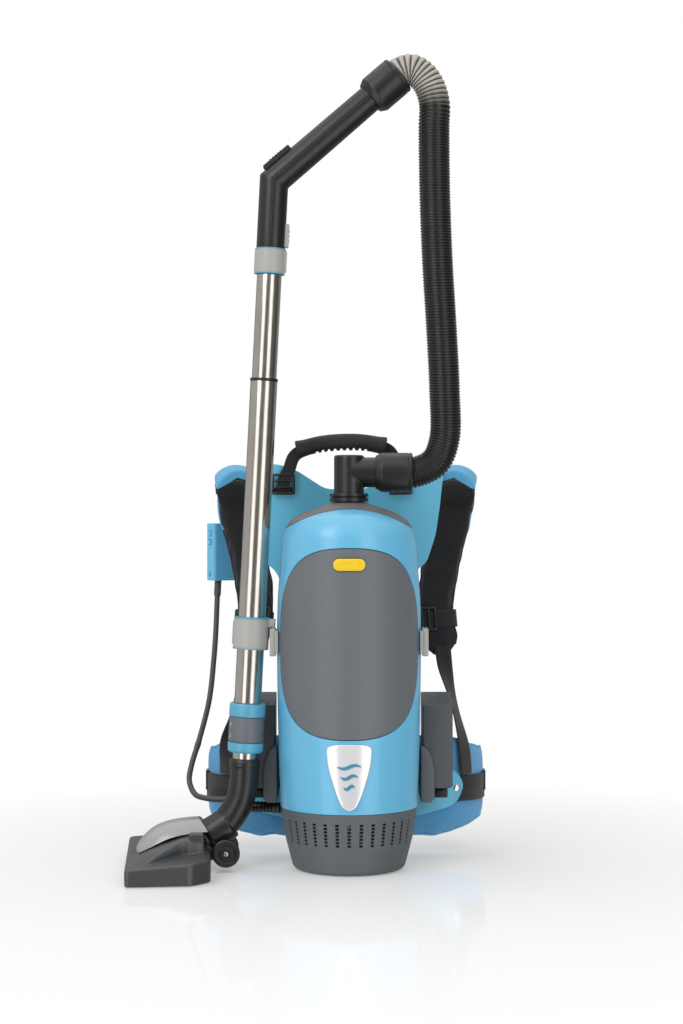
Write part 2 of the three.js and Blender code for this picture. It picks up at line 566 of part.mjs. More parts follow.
function buildControls() {
  const box = new THREE.Group();
  box.position.set(-176, 214, 406);
  box.rotation.z = radians(32);
  vacuum.add(box);
  const buttons = [['power_button', 26], ['speed_button', 14]];
  const wells = buttons.map(([, z]) => block([-25, -4, z - 4], [-18, 4, z + 4]));
  add(box, 'control_box', cut(roundedBlock([-21, -12, -40], [21, 12, 40], 4), ...wells),
    finish(BLUE, 0.4));
  for (const [name, z] of buttons) {
    add(box, name, block([-22.2, -3.4, z - 3.4], [-19.4, 3.4, z + 3.4]), finish(BLACK, 0.5));
  }
  const cable = new THREE.CatmullRomCurve3([[-183, 208, 364], [-184, 203, 340], [-185, 190, 297],
    [-187, 174, 256], [-192, 155, 203], [-204, 131, 151], [-213, 112, 119], [-215, 98, 99],
    [-206, 84, 83], [-192, 74, 79.5], [-170, 62, 79.5], [-152, 54, 83],
    [-142, 50.5, 86], [-134.4, 48.5, 88]]
    .map(p => point(...p)), false, 'centripetal');
  add(vacuum, 'power_cable', pipe(cable, 3.75, 0, 30, 6), finish(BLACK, 0.5));
  const conduit = new THREE.LineCurve3(point(-131, 44, 73), point(-92, 32, 73));
  add(vacuum, 'cable_conduit', pipe(conduit, 7, 4.5, 1, 14), finish(BLACK, 0.5));
}

buildCanister();
buildBase();
buildInside();
buildLugs();
buildInlet();
buildHose();
buildHandle();
buildTubes();
buildNeck();
buildKnuckle();
buildFloorTool();
buildBackPlate();
buildStraps();
buildBelt();
buildCarryHandle();
buildBatteries();
buildControls();

export default vacuum;
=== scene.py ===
"""Backpack vacuum cleaner: the looks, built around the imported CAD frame.

Shapes are worked out in millimetres in the CAD's own frame and stored in metres. Places come from
the frame: joint axes, joint pivots and the boxes of the CAD nodes.
"""

import json
import math
from math import cos, pi, radians, sin

import bmesh
import bpy
import numpy as np
from mathutils import Matrix, Vector, geometry
from mathutils.bvhtree import BVHTree


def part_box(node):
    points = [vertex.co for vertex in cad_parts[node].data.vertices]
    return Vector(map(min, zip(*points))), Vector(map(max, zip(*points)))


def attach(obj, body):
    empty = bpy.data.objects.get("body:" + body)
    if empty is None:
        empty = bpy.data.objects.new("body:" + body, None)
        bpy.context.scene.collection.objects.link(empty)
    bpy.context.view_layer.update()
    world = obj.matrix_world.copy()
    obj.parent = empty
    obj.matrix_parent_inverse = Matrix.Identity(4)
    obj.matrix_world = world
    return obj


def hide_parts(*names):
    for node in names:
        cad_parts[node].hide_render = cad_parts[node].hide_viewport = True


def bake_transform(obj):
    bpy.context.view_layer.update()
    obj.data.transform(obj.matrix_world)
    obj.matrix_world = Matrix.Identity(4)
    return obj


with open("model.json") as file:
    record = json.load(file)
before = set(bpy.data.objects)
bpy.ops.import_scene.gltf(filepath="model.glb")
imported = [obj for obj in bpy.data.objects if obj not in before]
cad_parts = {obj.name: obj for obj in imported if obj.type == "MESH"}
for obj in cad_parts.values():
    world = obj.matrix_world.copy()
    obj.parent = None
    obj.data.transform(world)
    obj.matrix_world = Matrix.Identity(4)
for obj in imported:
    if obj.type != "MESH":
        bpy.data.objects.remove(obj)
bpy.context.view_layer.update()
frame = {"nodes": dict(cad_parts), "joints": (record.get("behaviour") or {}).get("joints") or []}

MM = 0.001
X, Y, Z = Vector((1, 0, 0)), Vector((0, 1, 0)), Vector((0, 0, 1))
scene = bpy.context.scene


# ---------------------------------------------------------------- places from the frame

JOINTS = {j["name"]: j for j in frame["joints"]}


def axis_of(joint):
    return Vector(JOINTS[joint]["axis"]).normalized()


def pivot_of(joint):
    return Vector(JOINTS[joint]["pos_m"]) / MM


def box_of(node):
    low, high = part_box(node)
    return low / MM, high / MM


def middle_of(node):
    """(x, y, z) of the middle of a CAD node's box."""
    return tuple((a + b) / 2 for a, b in zip(*box_of(node)))


def frame_at(origin, z_axis, x_hint):
    """A frame in millimetres with the given origin and Z axis, its X axis close to x_hint."""
    z = z_axis.normalized()
    y = z.cross(x_hint).normalized()
    made = Matrix((y.cross(z), y, z)).transposed().to_4x4()
    made.translation = origin
    return made


def wand_frame():
    """Along the parked wand: Z runs up the tubes and the origin is where their axis meets z = 0."""
    z, pivot = axis_of("wand_lift"), pivot_of("lock_sleeve_twist")
    return frame_at(pivot - z * (pivot.z / z.z), z, X)


def arm_frame():
    """Along the grip's arm, from the corner where it leaves the wand's axis."""
    z, pivot = axis_of("upper_cuff_turn"), pivot_of("upper_cuff_turn")
    foot, up = WAND.translation, axis_of("wand_lift")
    corner = geometry.intersect_line_line(foot, foot + up, pivot, pivot + z)[1]
    return frame_at(corner, z, X)


PIVOT_IN_TOOL = Vector((84.1, -3.0, 34))   # the tilt pivot, from the middle of the tool's front


def tool_frame():
    """On the floor tool: X runs to the rear, Y along its width, and z = 0 is the floor."""
    y = -axis_of("tool_tilt")
    made = Matrix((y.cross(Z), y, Z)).transposed().to_4x4()
    made.translation = pivot_of("tool_tilt") - made.to_3x3() @ PIVOT_IN_TOOL
    return made


WAND = wand_frame()
ARM = arm_frame()
TOOL = tool_frame()
SWIVEL = frame_at(pivot_of("neck_swivel"), axis_of("neck_swivel"), X)
BRANCH_Z = pivot_of("lower_cuff_turn").z


# ---------------------------------------------------------------- meshes

def linked(name, data):
    """A new object in the scene, made from a mesh, a light or a camera."""
    obj = bpy.data.objects.new(name, data)
    scene.collection.objects.link(obj)
    return obj


def from_bmesh(name, bm):
    """A new object from a bmesh, which is freed."""
    mesh = bpy.data.meshes.new(name)
    bm.to_mesh(mesh)
    bm.free()
    return linked(name, mesh)


def new_object(name, vertices, faces, uvs=None):
    """A mesh object from points in millimetres; uvs holds one (u, v) for each point."""
    mesh = bpy.data.meshes.new(name)
    mesh.from_pydata([tuple(Vector(v) * MM) for v in vertices], [], faces)
    if uvs is not None:
        layer = mesh.uv_layers.new(name="length")
        for loop in mesh.loops:
            layer.data[loop.index].uv = uvs[loop.vertex_index]
    return linked(name, mesh)


def settle(obj):
    """Turns the object's modifiers into its mesh."""
    graph = bpy.context.evaluated_depsgraph_get()
    made = bpy.data.meshes.new_from_object(obj.evaluated_get(graph))
    obj.modifiers.clear()
    obj.data = made
    return obj


def modified(obj, kind, **settings):
    modifier = obj.modifiers.new(kind.lower(), kind)
    for key, value in settings.items():
        setattr(modifier, key, value)
    return settle(obj)


def rounded_edges(obj, width, segments=3, angle=35):
    return modified(obj, "BEVEL", width=width * MM, segments=segments, limit_method="ANGLE",
                    angle_limit=radians(angle), use_clamp_overlap=True)


def thickened(obj, thickness):
    return modified(obj, "SOLIDIFY", thickness=thickness * MM, offset=-1, use_even_offset=True)


def subdivided(obj, levels=1):
    return modified(obj, "SUBSURF", levels=levels, render_levels=levels)


def smoothed(obj, angle=38):
    """Smooth shading, with edges sharper than the angle kept sharp."""
    mesh = obj.data
    mesh.polygons.foreach_set("use_smooth", [True] * len(mesh.polygons))
    mesh.set_sharp_from_angle(angle=radians(angle))
    return obj


def facing_out(obj, centre=None):
    """Turns every face away from the middle; for a closed body the middle isn't needed."""
    bm = bmesh.new()
    bm.from_mesh(obj.data)
    bmesh.ops.recalc_face_normals(bm, faces=bm.faces)
    if centre is not None:
        middle = Vector(centre) * MM
        total = sum((f.calc_center_median() - middle).dot(f.normal) * f.calc_area() for f in bm.faces)
        if total < 0:
            bmesh.ops.reverse_faces(bm, faces=bm.faces)
    bm.to_mesh(obj.data)
    bm.free()
    return obj


STANDING = Matrix(((1, 0, 0), (0, 0, 1), (0, 1, 0))).to_4x4()   # stands a shape drawn in XY up in XZ


def placed(obj, where):
    """Moves a mesh made about the origin into a frame given in millimetres."""
    matrix = where.copy()
    matrix.translation = where.translation * MM
    obj.data.transform(matrix)
    return obj


def joined(name, parts):
    bm = bmesh.new()
    for part in parts:
        bm.from_mesh(part.data)
    for part in parts:
        bpy.data.objects.remove(part)
    return from_bmesh(name, bm)


def fused(name, parts, voxel=0.9, passes=4):
    """Several closed bodies grown into one moulding, with soft inner corners."""
    obj = joined(name, parts)
    modified(obj, "REMESH", mode="VOXEL", voxel_size=voxel * MM)
    return modified(obj, "SMOOTH", factor=0.5, iterations=passes)


def carved(obj, *cutters):
    for cutter in cutters:
        modified(obj, "BOOLEAN", operation="DIFFERENCE", object=cutter, solver="EXACT")
        bpy.data.objects.remove(cutter)
    return obj


def rounded_corners(points, radius, steps=4, closed=False):
    """The same outline with its corners turned into short arcs."""
    made = []
    count = len(points)
    for i, here in enumerate(points):
        here = Vector(here)
        if not closed and i in (0, count - 1):
            made.append(tuple(here))
            continue
        before, after = Vector(points[i - 1]), Vector(points[(i + 1) % count])
        into, out = before - here, after - here
        reach = min(radius, into.length / 2.2, out.length / 2.2)
        start, end = here + into.normalized() * reach, here + out.normalized() * reach
        for k in range(steps + 1):
            t = k / steps
            made.append(tuple(start * (1 - t) ** 2 + here * (2 * t * (1 - t)) + end * t * t))
    return made


def skin(name, rings, caps=(True, True), closed=True, uvs=None):
    """A surface over rings with equal numbers of points. A cap is a fan of triangles."""
    count = len(rings[0])
    vertices = [p for ring in rings for p in ring]
    faces = []
    for i in range(len(rings) - 1):
        for j in range(count if closed else count - 1):
            k = (j + 1) % count
            faces.append((i * count + j, i * count + k, (i + 1) * count + k, (i + 1) * count + j))
    for wanted, ring, start in ((caps[0], rings[0], 0), (caps[1], rings[-1], len(vertices) - count)):
        if wanted:
            middle = sum((Vector(p) for p in ring), Vector((0, 0, 0))) / count
            vertices.append(middle)
            faces += [(len(vertices) - 1, start + j, start + (j + 1) % count) for j in range(count)]
            if uvs is not None:
                uvs = uvs + [uvs[start]]
    return facing_out(new_object(name, vertices, faces, uvs)) if all(caps) else \
        new_object(name, vertices, faces, uvs)


def turned(name, profile, sides=96, closed=False):
    """A body of revolution about Z from (radius, height) points. A closed profile is a ring."""
    points = list(profile) + ([profile[0]] if closed else [])
    vertices, faces, rows = [], [], []
    for i, (r, z) in enumerate(points):
        if closed and i == len(points) - 1:
            rows.append(rows[0])
        elif r < 1e-6:
            rows.append([len(vertices)] * sides)
            vertices.append((0, 0, z))
        else:
            rows.append(list(range(len(vertices), len(vertices) + sides)))
            vertices += [(x, y, z) for x, y in circle(r, sides)]
    for low, high in zip(rows, rows[1:]):
        for k in range(sides):
            corners = [low[k], low[(k + 1) % sides], high[(k + 1) % sides], high[k]]
            unique = list(dict.fromkeys(corners))
            if len(unique) > 2:
                faces.append(unique)
    return facing_out(new_object(name, vertices, faces))


def turned_ring(name, profile, corner, steps=3, sides=96):
    """A ring turned from a closed profile whose corners are rounded."""
    return turned(name, rounded_corners(profile, corner, steps, True), sides, closed=True)


def ring(name, inner, outer, low, high, edge=0.5, steps=3):
    return turned_ring(name, [(inner, low), (outer, low), (outer, high), (inner, high)], edge, steps)


def rod(name, radius, low, high, edge, sides=96):
    """A solid round bar along Z with rounded rims."""
    outline = [(0, low), (radius, low), (radius, high), (0, high)]
    return turned(name, rounded_corners(outline, edge), sides)


def prism(name, outline, low, high, edge=0.0, segments=3):
    """An upright prism over an outline in XY, with its sharp edges rounded."""
    count = len(outline)
    vertices = [(x, y, low) for x, y in outline] + [(x, y, high) for x, y in outline]
    faces = [tuple(range(count))[::-1], tuple(range(count, 2 * count))]
    faces += [(j, (j + 1) % count, count + (j + 1) % count, count + j) for j in range(count)]
    obj = facing_out(new_object(name, vertices, faces))
    return rounded_edges(obj, edge, segments) if edge else obj


def block(name, low, high, edge=1.0, segments=3):
    (x0, y0, z0), (x1, y1, z1) = low, high
    return prism(name, [(x0, y0), (x1, y0), (x1, y1), (x0, y1)], z0, z1, edge, segments)


# ---------------------------------------------------------------- paths and sweeps

def curve_through(points, spacing=4.0):
    """Evenly spaced points on a smooth (centripetal Catmull-Rom) curve through the given ones."""
    p = [Vector(q) for q in points]
    p = [2 * p[0] - p[1]] + p + [2 * p[-1] - p[-2]]
    dense = []
    for p0, p1, p2, p3 in zip(p, p[1:], p[2:], p[3:]):
        t0 = 0.0
        t1 = t0 + (p1 - p0).length ** 0.5
        t2 = t1 + (p2 - p1).length ** 0.5
        t3 = t2 + (p3 - p2).length ** 0.5
        for k in range(20):
            t = t1 + (t2 - t1) * k / 20
            a1 = p0 * ((t1 - t) / (t1 - t0)) + p1 * ((t - t0) / (t1 - t0))
            a2 = p1 * ((t2 - t) / (t2 - t1)) + p2 * ((t - t1) / (t2 - t1))
            a3 = p2 * ((t3 - t) / (t3 - t2)) + p3 * ((t - t2) / (t3 - t2))
            b1 = a1 * ((t2 - t) / (t2 - t0)) + a2 * ((t - t0) / (t2 - t0))
            b2 = a2 * ((t3 - t) / (t3 - t1)) + a3 * ((t - t1) / (t3 - t1))
            dense.append(b1 * ((t2 - t) / (t2 - t1)) + b2 * ((t - t1) / (t2 - t1)))
    dense.append(p[-2])
    return evenly(dense, spacing)


def evenly(points, spacing):
    co = np.array([tuple(q) for q in points])
    reach = np.concatenate([[0], np.cumsum(np.linalg.norm(np.diff(co, axis=0), axis=1))])
    steps = max(2, round(reach[-1] / spacing))
    at = np.linspace(0, reach[-1], steps + 1)
    return [Vector([np.interp(s, reach, co[:, k]) for k in range(co.shape[1])]) for s in at]


def tangents(path):
    return [(path[min(i + 1, len(path) - 1)] - path[max(i - 1, 0)]).normalized()
            for i in range(len(path))]


def carried_frames(path, side=Y):
    """(side, up) at each point of a path, turned no more than the path itself turns."""
    made = []
    for along in tangents(path):
        side = (side - along * side.dot(along)).normalized()
        made.append((side, along.cross(side)))
    return made


def held_frames(path, side_at):
    """(side, up) at each point, the side held to a wanted direction."""
    made = []
    for i, along in enumerate(tangents(path)):
        side = side_at(i / (len(path) - 1))
        side = (side - along * side.dot(along)).normalized()
        made.append((side, along.cross(side)))
    return made


def swept(name, path, frames, section, caps=(True, True)):
    """A tube or band along a path. section(length, share) gives (side, up) points in mm."""
    rings, uvs, length = [], [], 0.0
    for i, (here, (side, up)) in enumerate(zip(path, frames)):
        if i:
            length += (here - path[i - 1]).length
        corners = section(length, i / (len(path) - 1))
        rings.append([here + side * a + up * b for a, b in corners])
        for a, b in corners:
            uvs.append((a / 10, length / 10))
    return skin(name, rings, caps, uvs=uvs)


def circle(r, sides=32):
    return [(r * cos(2 * pi * k / sides), r * sin(2 * pi * k / sides)) for k in range(sides)]


def superellipse(a, b, power, count):
    made = []
    for k in range(count):
        c, s = cos(2 * pi * k / count), sin(2 * pi * k / count)
        made.append((a * math.copysign(abs(c) ** (2 / power), c),
                     b * math.copysign(abs(s) ** (2 / power), s)))
    return made


def flat_section(width, thickness):
    """The section of a webbing: flat faces and round edges."""
    w, h = width / 2, thickness / 2
    flat = [-1 + 2 * k / 8 for k in range(9)]
    top = [((w - h) * f, h) for f in flat]
    low = [((w - h) * -f, -h) for f in flat]
    return top + [(w, 0)] + low + [(-w, 0)]


# ---------------------------------------------------------------- materials

def srgb(r, g, b):
    """A colour as a screen shows it, 0 to 255, in the linear form that shaders take."""
    linear = [v / 255 / 12.92 if v <= 10 else ((v / 255 + 0.055) / 1.055) ** 2.4 for v in (r, g, b)]
    return (*linear, 1.0)


def tinted(colour, factor):
    return (*(min(1.0, c * factor) for c in colour[:3]), 1.0)


class Nodes:
    """A node tree, with short names for the nodes used again and again."""

    def __init__(self, tree):
        self.tree = tree

    def connect(self, value, socket):
        """Links another node's output to the socket, or gives the socket a fixed value."""
        if isinstance(value, bpy.types.NodeSocket):
            self.tree.links.new(value, socket)
        else:
            socket.default_value = value

    def node(self, kind, inputs=None, **settings):
        made = self.tree.nodes.new(kind)
        for key, value in settings.items():
            setattr(made, key, value)
        for key, value in (inputs or {}).items():
            self.connect(value, made.inputs[key])
        return made

    def math(self, operation, a, b=0.0):
        return self.node("ShaderNodeMath", {0: a, 1: b}, operation=operation).outputs[0]

    def ranged(self, value, low, high, to_low=0.0, to_high=1.0):
        return self.node("ShaderNodeMapRange", {"Value": value, "From Min": low, "From Max": high,
                                                "To Min": to_low, "To Max": to_high}).outputs[0]

    def mixed(self, share, a, b):
        """A colour between a and b; the mix node keeps its colour sockets behind those for numbers."""
        return self.node("ShaderNodeMix", {0: share, 6: a, 7: b}, data_type="RGBA").outputs[2]


class Graph(Nodes):
    """A material's node tree."""

    def __init__(self, name):
        self.material = bpy.data.materials.new(name)
        self.material.use_nodes = True
        super().__init__(self.material.node_tree)
        self.shader = self.tree.nodes["Principled BSDF"]
        self.coordinates = self.node("ShaderNodeTexCoord")
        self.place = self.coordinates.outputs["Object"]

    def noise(self, size, detail=2.0, stretch=(1, 1, 1)):
        """Noise with features of about size millimetres, drawn out along the axes."""
        scaled = self.node("ShaderNodeMapping", {"Vector": self.place, "Scale": stretch})
        return self.node("ShaderNodeTexNoise", {"Vector": scaled.outputs[0], "Scale": 1 / (size * MM),
                                                "Detail": detail}).outputs["Fac"]

    def bump(self, height, depth, strength=1.0):
        """Surface relief from a height of 0 to 1, depth millimetres deep."""
        made = self.node("ShaderNodeBump", {"Height": height, "Distance": depth * MM,
                                            "Strength": strength})
        self.set(Normal=made.outputs[0])

    def edges(self):
        """1 along convex edges, 0 elsewhere, for a painted edge highlight."""
        point = self.node("ShaderNodeNewGeometry").outputs["Pointiness"]
        return self.ranged(point, 0.56, 0.66, 0.0, 1.0)

    def set(self, **values):
        for key, value in values.items():
            self.connect(value, self.shader.inputs[key.replace("_", " ")])


def plastic(name, colour, roughness, grain=0.35, relief=0.03, drift=0.05, edge_highlight=0.35, coat=0.0,
            speckle=0.35):
    """Moulded plastic: slow colour drift, fine surface grain and a painted highlight that lightens the
    convex edges.
    """
    g = Graph(name)
    drifting = g.mixed(g.noise(60, 3), tinted(colour, 1 - drift), tinted(colour, 1 + drift))
    speckled = g.mixed(g.ranged(g.noise(grain * 2), 0.35, 0.65, 0, speckle), drifting,
                       tinted(colour, 0.90))
    # painted highlight: convex edges lightened towards 1.9 times the colour, in patches
    painted_edge_highlight = g.math("MULTIPLY", g.edges(), g.ranged(g.noise(9, 4), 0.35, 0.6, 0.2 * edge_highlight, edge_highlight))
    g.set(Base_Color=g.mixed(painted_edge_highlight, speckled, tinted(colour, 1.9)),
          Roughness=g.ranged(g.noise(6, 4), 0.3, 0.7, roughness - 0.15 * speckle,
                             roughness + 0.17 * speckle),
          Coat_Weight=coat, Coat_Roughness=0.12)
    g.bump(g.noise(grain, 3), relief)
    return g.material


def brushed_steel(name):
    """Polished stainless tube: fine lines drawn along it, faint stains, tight reflections."""
    g = Graph(name)
    lines = g.noise(0.5, 2, (1, 1, 0.02))
    stains = g.noise(35, 4)
    g.set(Metallic=1.0, Base_Color=g.mixed(stains, srgb(176, 170, 162), srgb(205, 200, 192)),
          Roughness=g.ranged(lines, 0.3, 0.7, 0.13, 0.24), Anisotropic=0.4)
    g.bump(lines, 0.012)
    return g.material


def woven(name, colour, thread=0.9, fuzz=0.35, relief=0.25, drift=0.14):
    """A plain weave laid over any shape: two crossing sets of threads, with slubs and soft sheen."""
    g = Graph(name)
    axes = g.node("ShaderNodeSeparateXYZ", {"Vector": g.place}).outputs
    turn = 2 * pi / (thread * MM)
    across = g.math("SINE", g.math("MULTIPLY", g.math("ADD", axes[0], axes[1]), turn))
    down = g.math("SINE", g.math("MULTIPLY", axes[2], turn))
    weave = g.ranged(g.math("MULTIPLY", across, down), -1, 1, 0, 1)
    threads = g.mixed(weave, tinted(colour, 0.72), tinted(colour, 1.14))
    slubs = g.noise(3, 3, (1, 1, 0.3))
    cloth = g.mixed(g.ranged(slubs, 0.3, 0.7, 0, drift * 2), threads, tinted(colour, 1.5))
    shade = g.mixed(g.noise(50, 3), tinted(colour, 1 - drift), tinted(colour, 1 + drift))
    g.set(Base_Color=g.mixed(0.35, cloth, shade), Roughness=0.92, Sheen_Weight=fuzz,
          Sheen_Roughness=0.4, Specular_IOR_Level=0.25)
    g.bump(g.math("ADD", weave, g.math("MULTIPLY", slubs, 0.8)), relief)
    return g.material


def air_mesh(name, colour, cell=3.4):
    """Spacer mesh: a close grid of small soft holes over a knitted face."""
    g = Graph(name)
    holes = g.node("ShaderNodeTexVoronoi", {"Vector": g.place, "Scale": 1 / (cell * MM),
                                            "Randomness": 0.25}).outputs["Distance"]
    open_share = g.ranged(holes, 0.12, 0.38, 0.0, 1.0)
    knit = g.noise(0.8, 3)
    lit = g.mixed(knit, tinted(colour, 0.8), tinted(colour, 1.35))
    g.set(Base_Color=g.mixed(open_share, tinted(colour, 0.35), lit), Roughness=0.95,
          Sheen_Weight=0.3, Sheen_Roughness=0.5, Specular_IOR_Level=0.2)
    g.bump(g.math("ADD", open_share, g.math("MULTIPLY", knit, 0.4)), 0.5)
    return g.material


def twill(name, colour, rib=1.6):
    """Webbing: slanting ribs that meet in a row of V shapes, from the band's own length and width."""
    g = Graph(name)
    uv = g.node("ShaderNodeSeparateXYZ", {"Vector": g.coordinates.outputs["UV"]}).outputs
    folded = g.math("ABSOLUTE", uv[0])
    slant = g.math("MULTIPLY", g.math("ADD", folded, uv[1]), 2 * pi / (rib / 10))
    ribs = g.ranged(g.math("SINE", slant), -1, 1, 0, 1)
    fuzz = g.noise(0.7, 3)
    shade = g.mixed(ribs, tinted(colour, 0.6), tinted(colour, 1.3))
    g.set(Base_Color=g.mixed(g.ranged(fuzz, 0.3, 0.7, 0, 0.3), shade, tinted(colour, 1.9)),
          Roughness=0.78, Sheen_Weight=0.25, Specular_IOR_Level=0.35)
    g.bump(g.math("ADD", ribs, g.math("MULTIPLY", fuzz, 0.5)), 0.3)
    return g.material


def pearl(name):
    g = Graph(name)
    facing = g.node("ShaderNodeLayerWeight", {"Blend": 0.35}).outputs["Facing"]
    cast = g.mixed(g.noise(25, 2), srgb(220, 220, 224), srgb(234, 233, 234))
    g.set(Base_Color=g.mixed(facing, cast, srgb(190, 193, 202)), Metallic=0.25,
          Roughness=g.ranged(g.noise(2, 3), 0.3, 0.7, 0.18, 0.26), Coat_Weight=0.5)
    g.bump(g.noise(0.5), 0.01)
    return g.material


def paper(name, colour):
    g = Graph(name)
    fibres = g.noise(1.2, 5, (1, 1, 0.25))
    g.set(Base_Color=g.mixed(fibres, tinted(colour, 0.82), tinted(colour, 1.08)), Roughness=0.95,
          Sheen_Weight=0.2)
    g.bump(g.math("ADD", fibres, g.noise(7, 3)), 0.3)
    return g.material


HOSE_POINT_VALUES = ("painted_top_light", "crest")


def hose_plastic(name):
    """Dark hose plastic with painted light: high on the arch the rib crests are painted pale as top light
    and highlight, the valleys dark as painted shade. Both vary point by point.
    """
    g = Graph(name)
    painted_top_light, crest = (g.node("ShaderNodeAttribute", attribute_name=kind).outputs["Fac"]
                        for kind in HOSE_POINT_VALUES)
    dust = g.ranged(g.noise(5, 4), 0.4, 0.7, 0.0, 0.3)
    dark = g.mixed(dust, srgb(17, 16, 15), srgb(32, 30, 28))
    # painted highlight on the rib crests, painted shade in the valleys between them
    pale = g.mixed(g.ranged(crest, 0.15, 0.6, 0.0, 1.0), srgb(44, 41, 38), srgb(170, 163, 154))
    g.set(Base_Color=g.mixed(painted_top_light, dark, pale),
          Roughness=g.ranged(g.noise(3, 3), 0.3, 0.7, 0.26, 0.38), Coat_Weight=0.1,
          Coat_Roughness=0.15, Specular_IOR_Level=0.45)
    g.bump(g.noise(0.8, 2), 0.03)
    return g.material


def machined(name):
    """Bare machined metal for pins and screws."""
    g = Graph(name)
    g.set(Metallic=1.0, Base_Color=g.mixed(g.noise(2, 3), srgb(190, 186, 180), srgb(228, 225, 220)),
          Roughness=g.ranged(g.noise(0.8, 3), 0.3, 0.7, 0.2, 0.36))
    g.bump(g.noise(0.4), 0.02)
    return g.material


FINISHES = {
    "body_blue": plastic("shell_paint", srgb(98, 176, 212), 0.3, 0.5, 0.0008, 0.01, 0.0, 0.2, 0.03),
    "plate_teal": plastic("plate_paint", srgb(92, 178, 208), 0.38, 0.5, 0.012, 0.02, 0.1, 0.0, 0.12),
    "panel_grey": plastic("cover_grey", srgb(98, 103, 108), 0.46, 0.5, 0.04, 0.03, 0.25),
    "base_grey": plastic("base_grey", srgb(88, 93, 96), 0.52, 0.5, 0.06, 0.04),
    "cap_grey": plastic("cap_grey", srgb(112, 106, 106), 0.42, 0.4, 0.04, 0.04),
    "latch_yellow": plastic("latch_yellow", srgb(236, 196, 40), 0.3, 0.4, 0.01, 0.03, 0.2, 0.3),
    "badge_pearl": pearl("badge_pearl"),
    "light_grey": plastic("light_grey", srgb(164, 164, 160), 0.4, 0.4, 0.03, 0.04),
    "black_plastic": plastic("black_plastic", srgb(27, 27, 28), 0.34, 0.35, 0.04, 0.12, 0.12),
    "rubber_black": plastic("rubber", srgb(27, 26, 26), 0.6, 0.6, 0.10, 0.12, 0.1),
    "stainless": brushed_steel("stainless"),
    "black_fabric": air_mesh("air_mesh", srgb(36, 36, 38)),
    "belt_fabric": woven("belt_fabric", srgb(92, 160, 208)),
    "battery_grey": plastic("battery_grey", srgb(76, 80, 84), 0.48, 0.6, 0.08, 0.05),
    "paper": paper("bag_paper", srgb(214, 204, 184)),
    "metal_dark": machined("machined_metal"),
}
EXTRAS = {
    "strap_cover": woven("strap_cover", srgb(96, 168, 208), 0.8, 0.25, 0.15, 0.08),
    "webbing": twill("webbing", srgb(34, 33, 34)),
    "thread": woven("thread", srgb(58, 60, 64), 0.5, 0.2),
    "blue_thread": woven("blue_thread", srgb(150, 196, 220), 0.5, 0.2),
    "hose": hose_plastic("hose_plastic"),
    "bristle": plastic("bristle", srgb(46, 44, 42), 0.7, 0.4, 0.05, 0.25, 0.3),
    "collar_blue": plastic("collar_blue", srgb(84, 160, 188), 0.34, 0.4, 0.03, 0.04),
    "pedal_grey": plastic("pedal_grey", srgb(146, 146, 144), 0.22, 0.4, 0.002, 0.02, 0.0, 0.5, 0.03),
    "tool_grey": plastic("tool_grey", srgb(62, 62, 62), 0.36, 0.4, 0.02, 0.05, 0.1, 0.1, 0.1),
    "lead": plastic("lead_rubber", srgb(74, 70, 67), 0.5, 0.5, 0.04, 0.08, 0.1),
    "mark": plastic("mark_teal", srgb(70, 134, 164), 0.35, 0.4, 0.01, 0.03),
}


def piece(obj, body, slot, nodes=(), finish=None, angle=38, between=None):
    """Gives a finished mesh its material and smooth shading, hangs it from its body unless it lies between
    two, and hides the CAD nodes it stands for.
    """
    obj.data.materials.clear()
    obj.data.materials.append(EXTRAS[finish] if finish else FINISHES[slot])
    smoothed(obj, angle)
    if between is None:
        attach(obj, body)
    else:
        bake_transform(obj)
    if nodes:
        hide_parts(*nodes)
    return obj


# ---------------------------------------------------------------- canister

CANISTER_R = 93.5
BODY_OUTLINE = [(88.8, 81), (91.8, 170), (93.5, 280), (92.8, 345), (90.3, 382), (87.2, 426),
                (84.6, 436), (77, 450), (67, 457.6), (54, 463.4), (38, 468.8), (21, 474.5)]
WALL = 3.0
SEAM = 0.5                  # half the gap at a visible joint between two mouldings
JOINT_TOP, JOINT_BACK = 466, 439.5   # the cap's joint: its height at the front, and at the back
COVER_MIDDLE = middle_of("front_cover")[2]
COVER_HALF = (117, 120)     # along the wall and upwards
COVER_POWER = 2.5
LATCH_MIDDLE = middle_of("cover_latch")[2]
LATCH_R, LATCH_REACH = 7.85, 12.65
PROFILE = curve_through([(r, 0, z) for r, z in BODY_OUTLINE], 1.5)
PROFILE_R, PROFILE_Z = [p.x for p in PROFILE], [p.z for p in PROFILE]


def wall_point(arc, z, stand=0.0):
    """A point off the canister's wall: arc runs round from the front, in mm at its widest."""
    r = float(np.interp(z, PROFILE_Z, PROFILE_R)) + stand
    angle = arc / CANISTER_R - pi / 2
    return (r * cos(angle), r * sin(angle), z)


def wall_patch(inner, outer, steps, stand=0.0):
    """Rings of points on the wall between two outlines of (arc, z) points."""
    rings = []
    for k in range(steps + 1):
        t = k / steps
        rings.append([wall_point(a0 + (a1 - a0) * t, z0 + (z1 - z0) * t, stand)
                      for (a0, z0), (a1, z1) in zip(inner, outer)])
    return rings


def ray_to_superellipse(direction, a, b, power):
    """The point of a superellipse about the origin that lies in a direction."""
    dx, dy = abs(direction[0]) / a, abs(direction[1]) / b
    reach = (dx ** power + dy ** power) ** (-1 / power)
    return (direction[0] * reach, direction[1] * reach)


def joint_height(place):
    """Height in metres of the joint between body and cap: an arch over the front, level behind."""
    side = BODY_OUTLINE[6][0] * MM
    if place.y > 0:
        return JOINT_BACK * MM
    return (JOINT_TOP - (JOINT_TOP - JOINT_BACK) * min(1.0, abs(place.x) / side) ** 2) * MM


COLUMNS, STEP = 120, radians(3)     # the body's grid: columns all round, and the angle between two
PATCH_COLUMNS = 27                  # the cover's patch reaches this many each side of the front
PATCH_ROWS = (17, 77)               # the patch's first and last row
PATCH_HALF = 130                    # half the patch's height


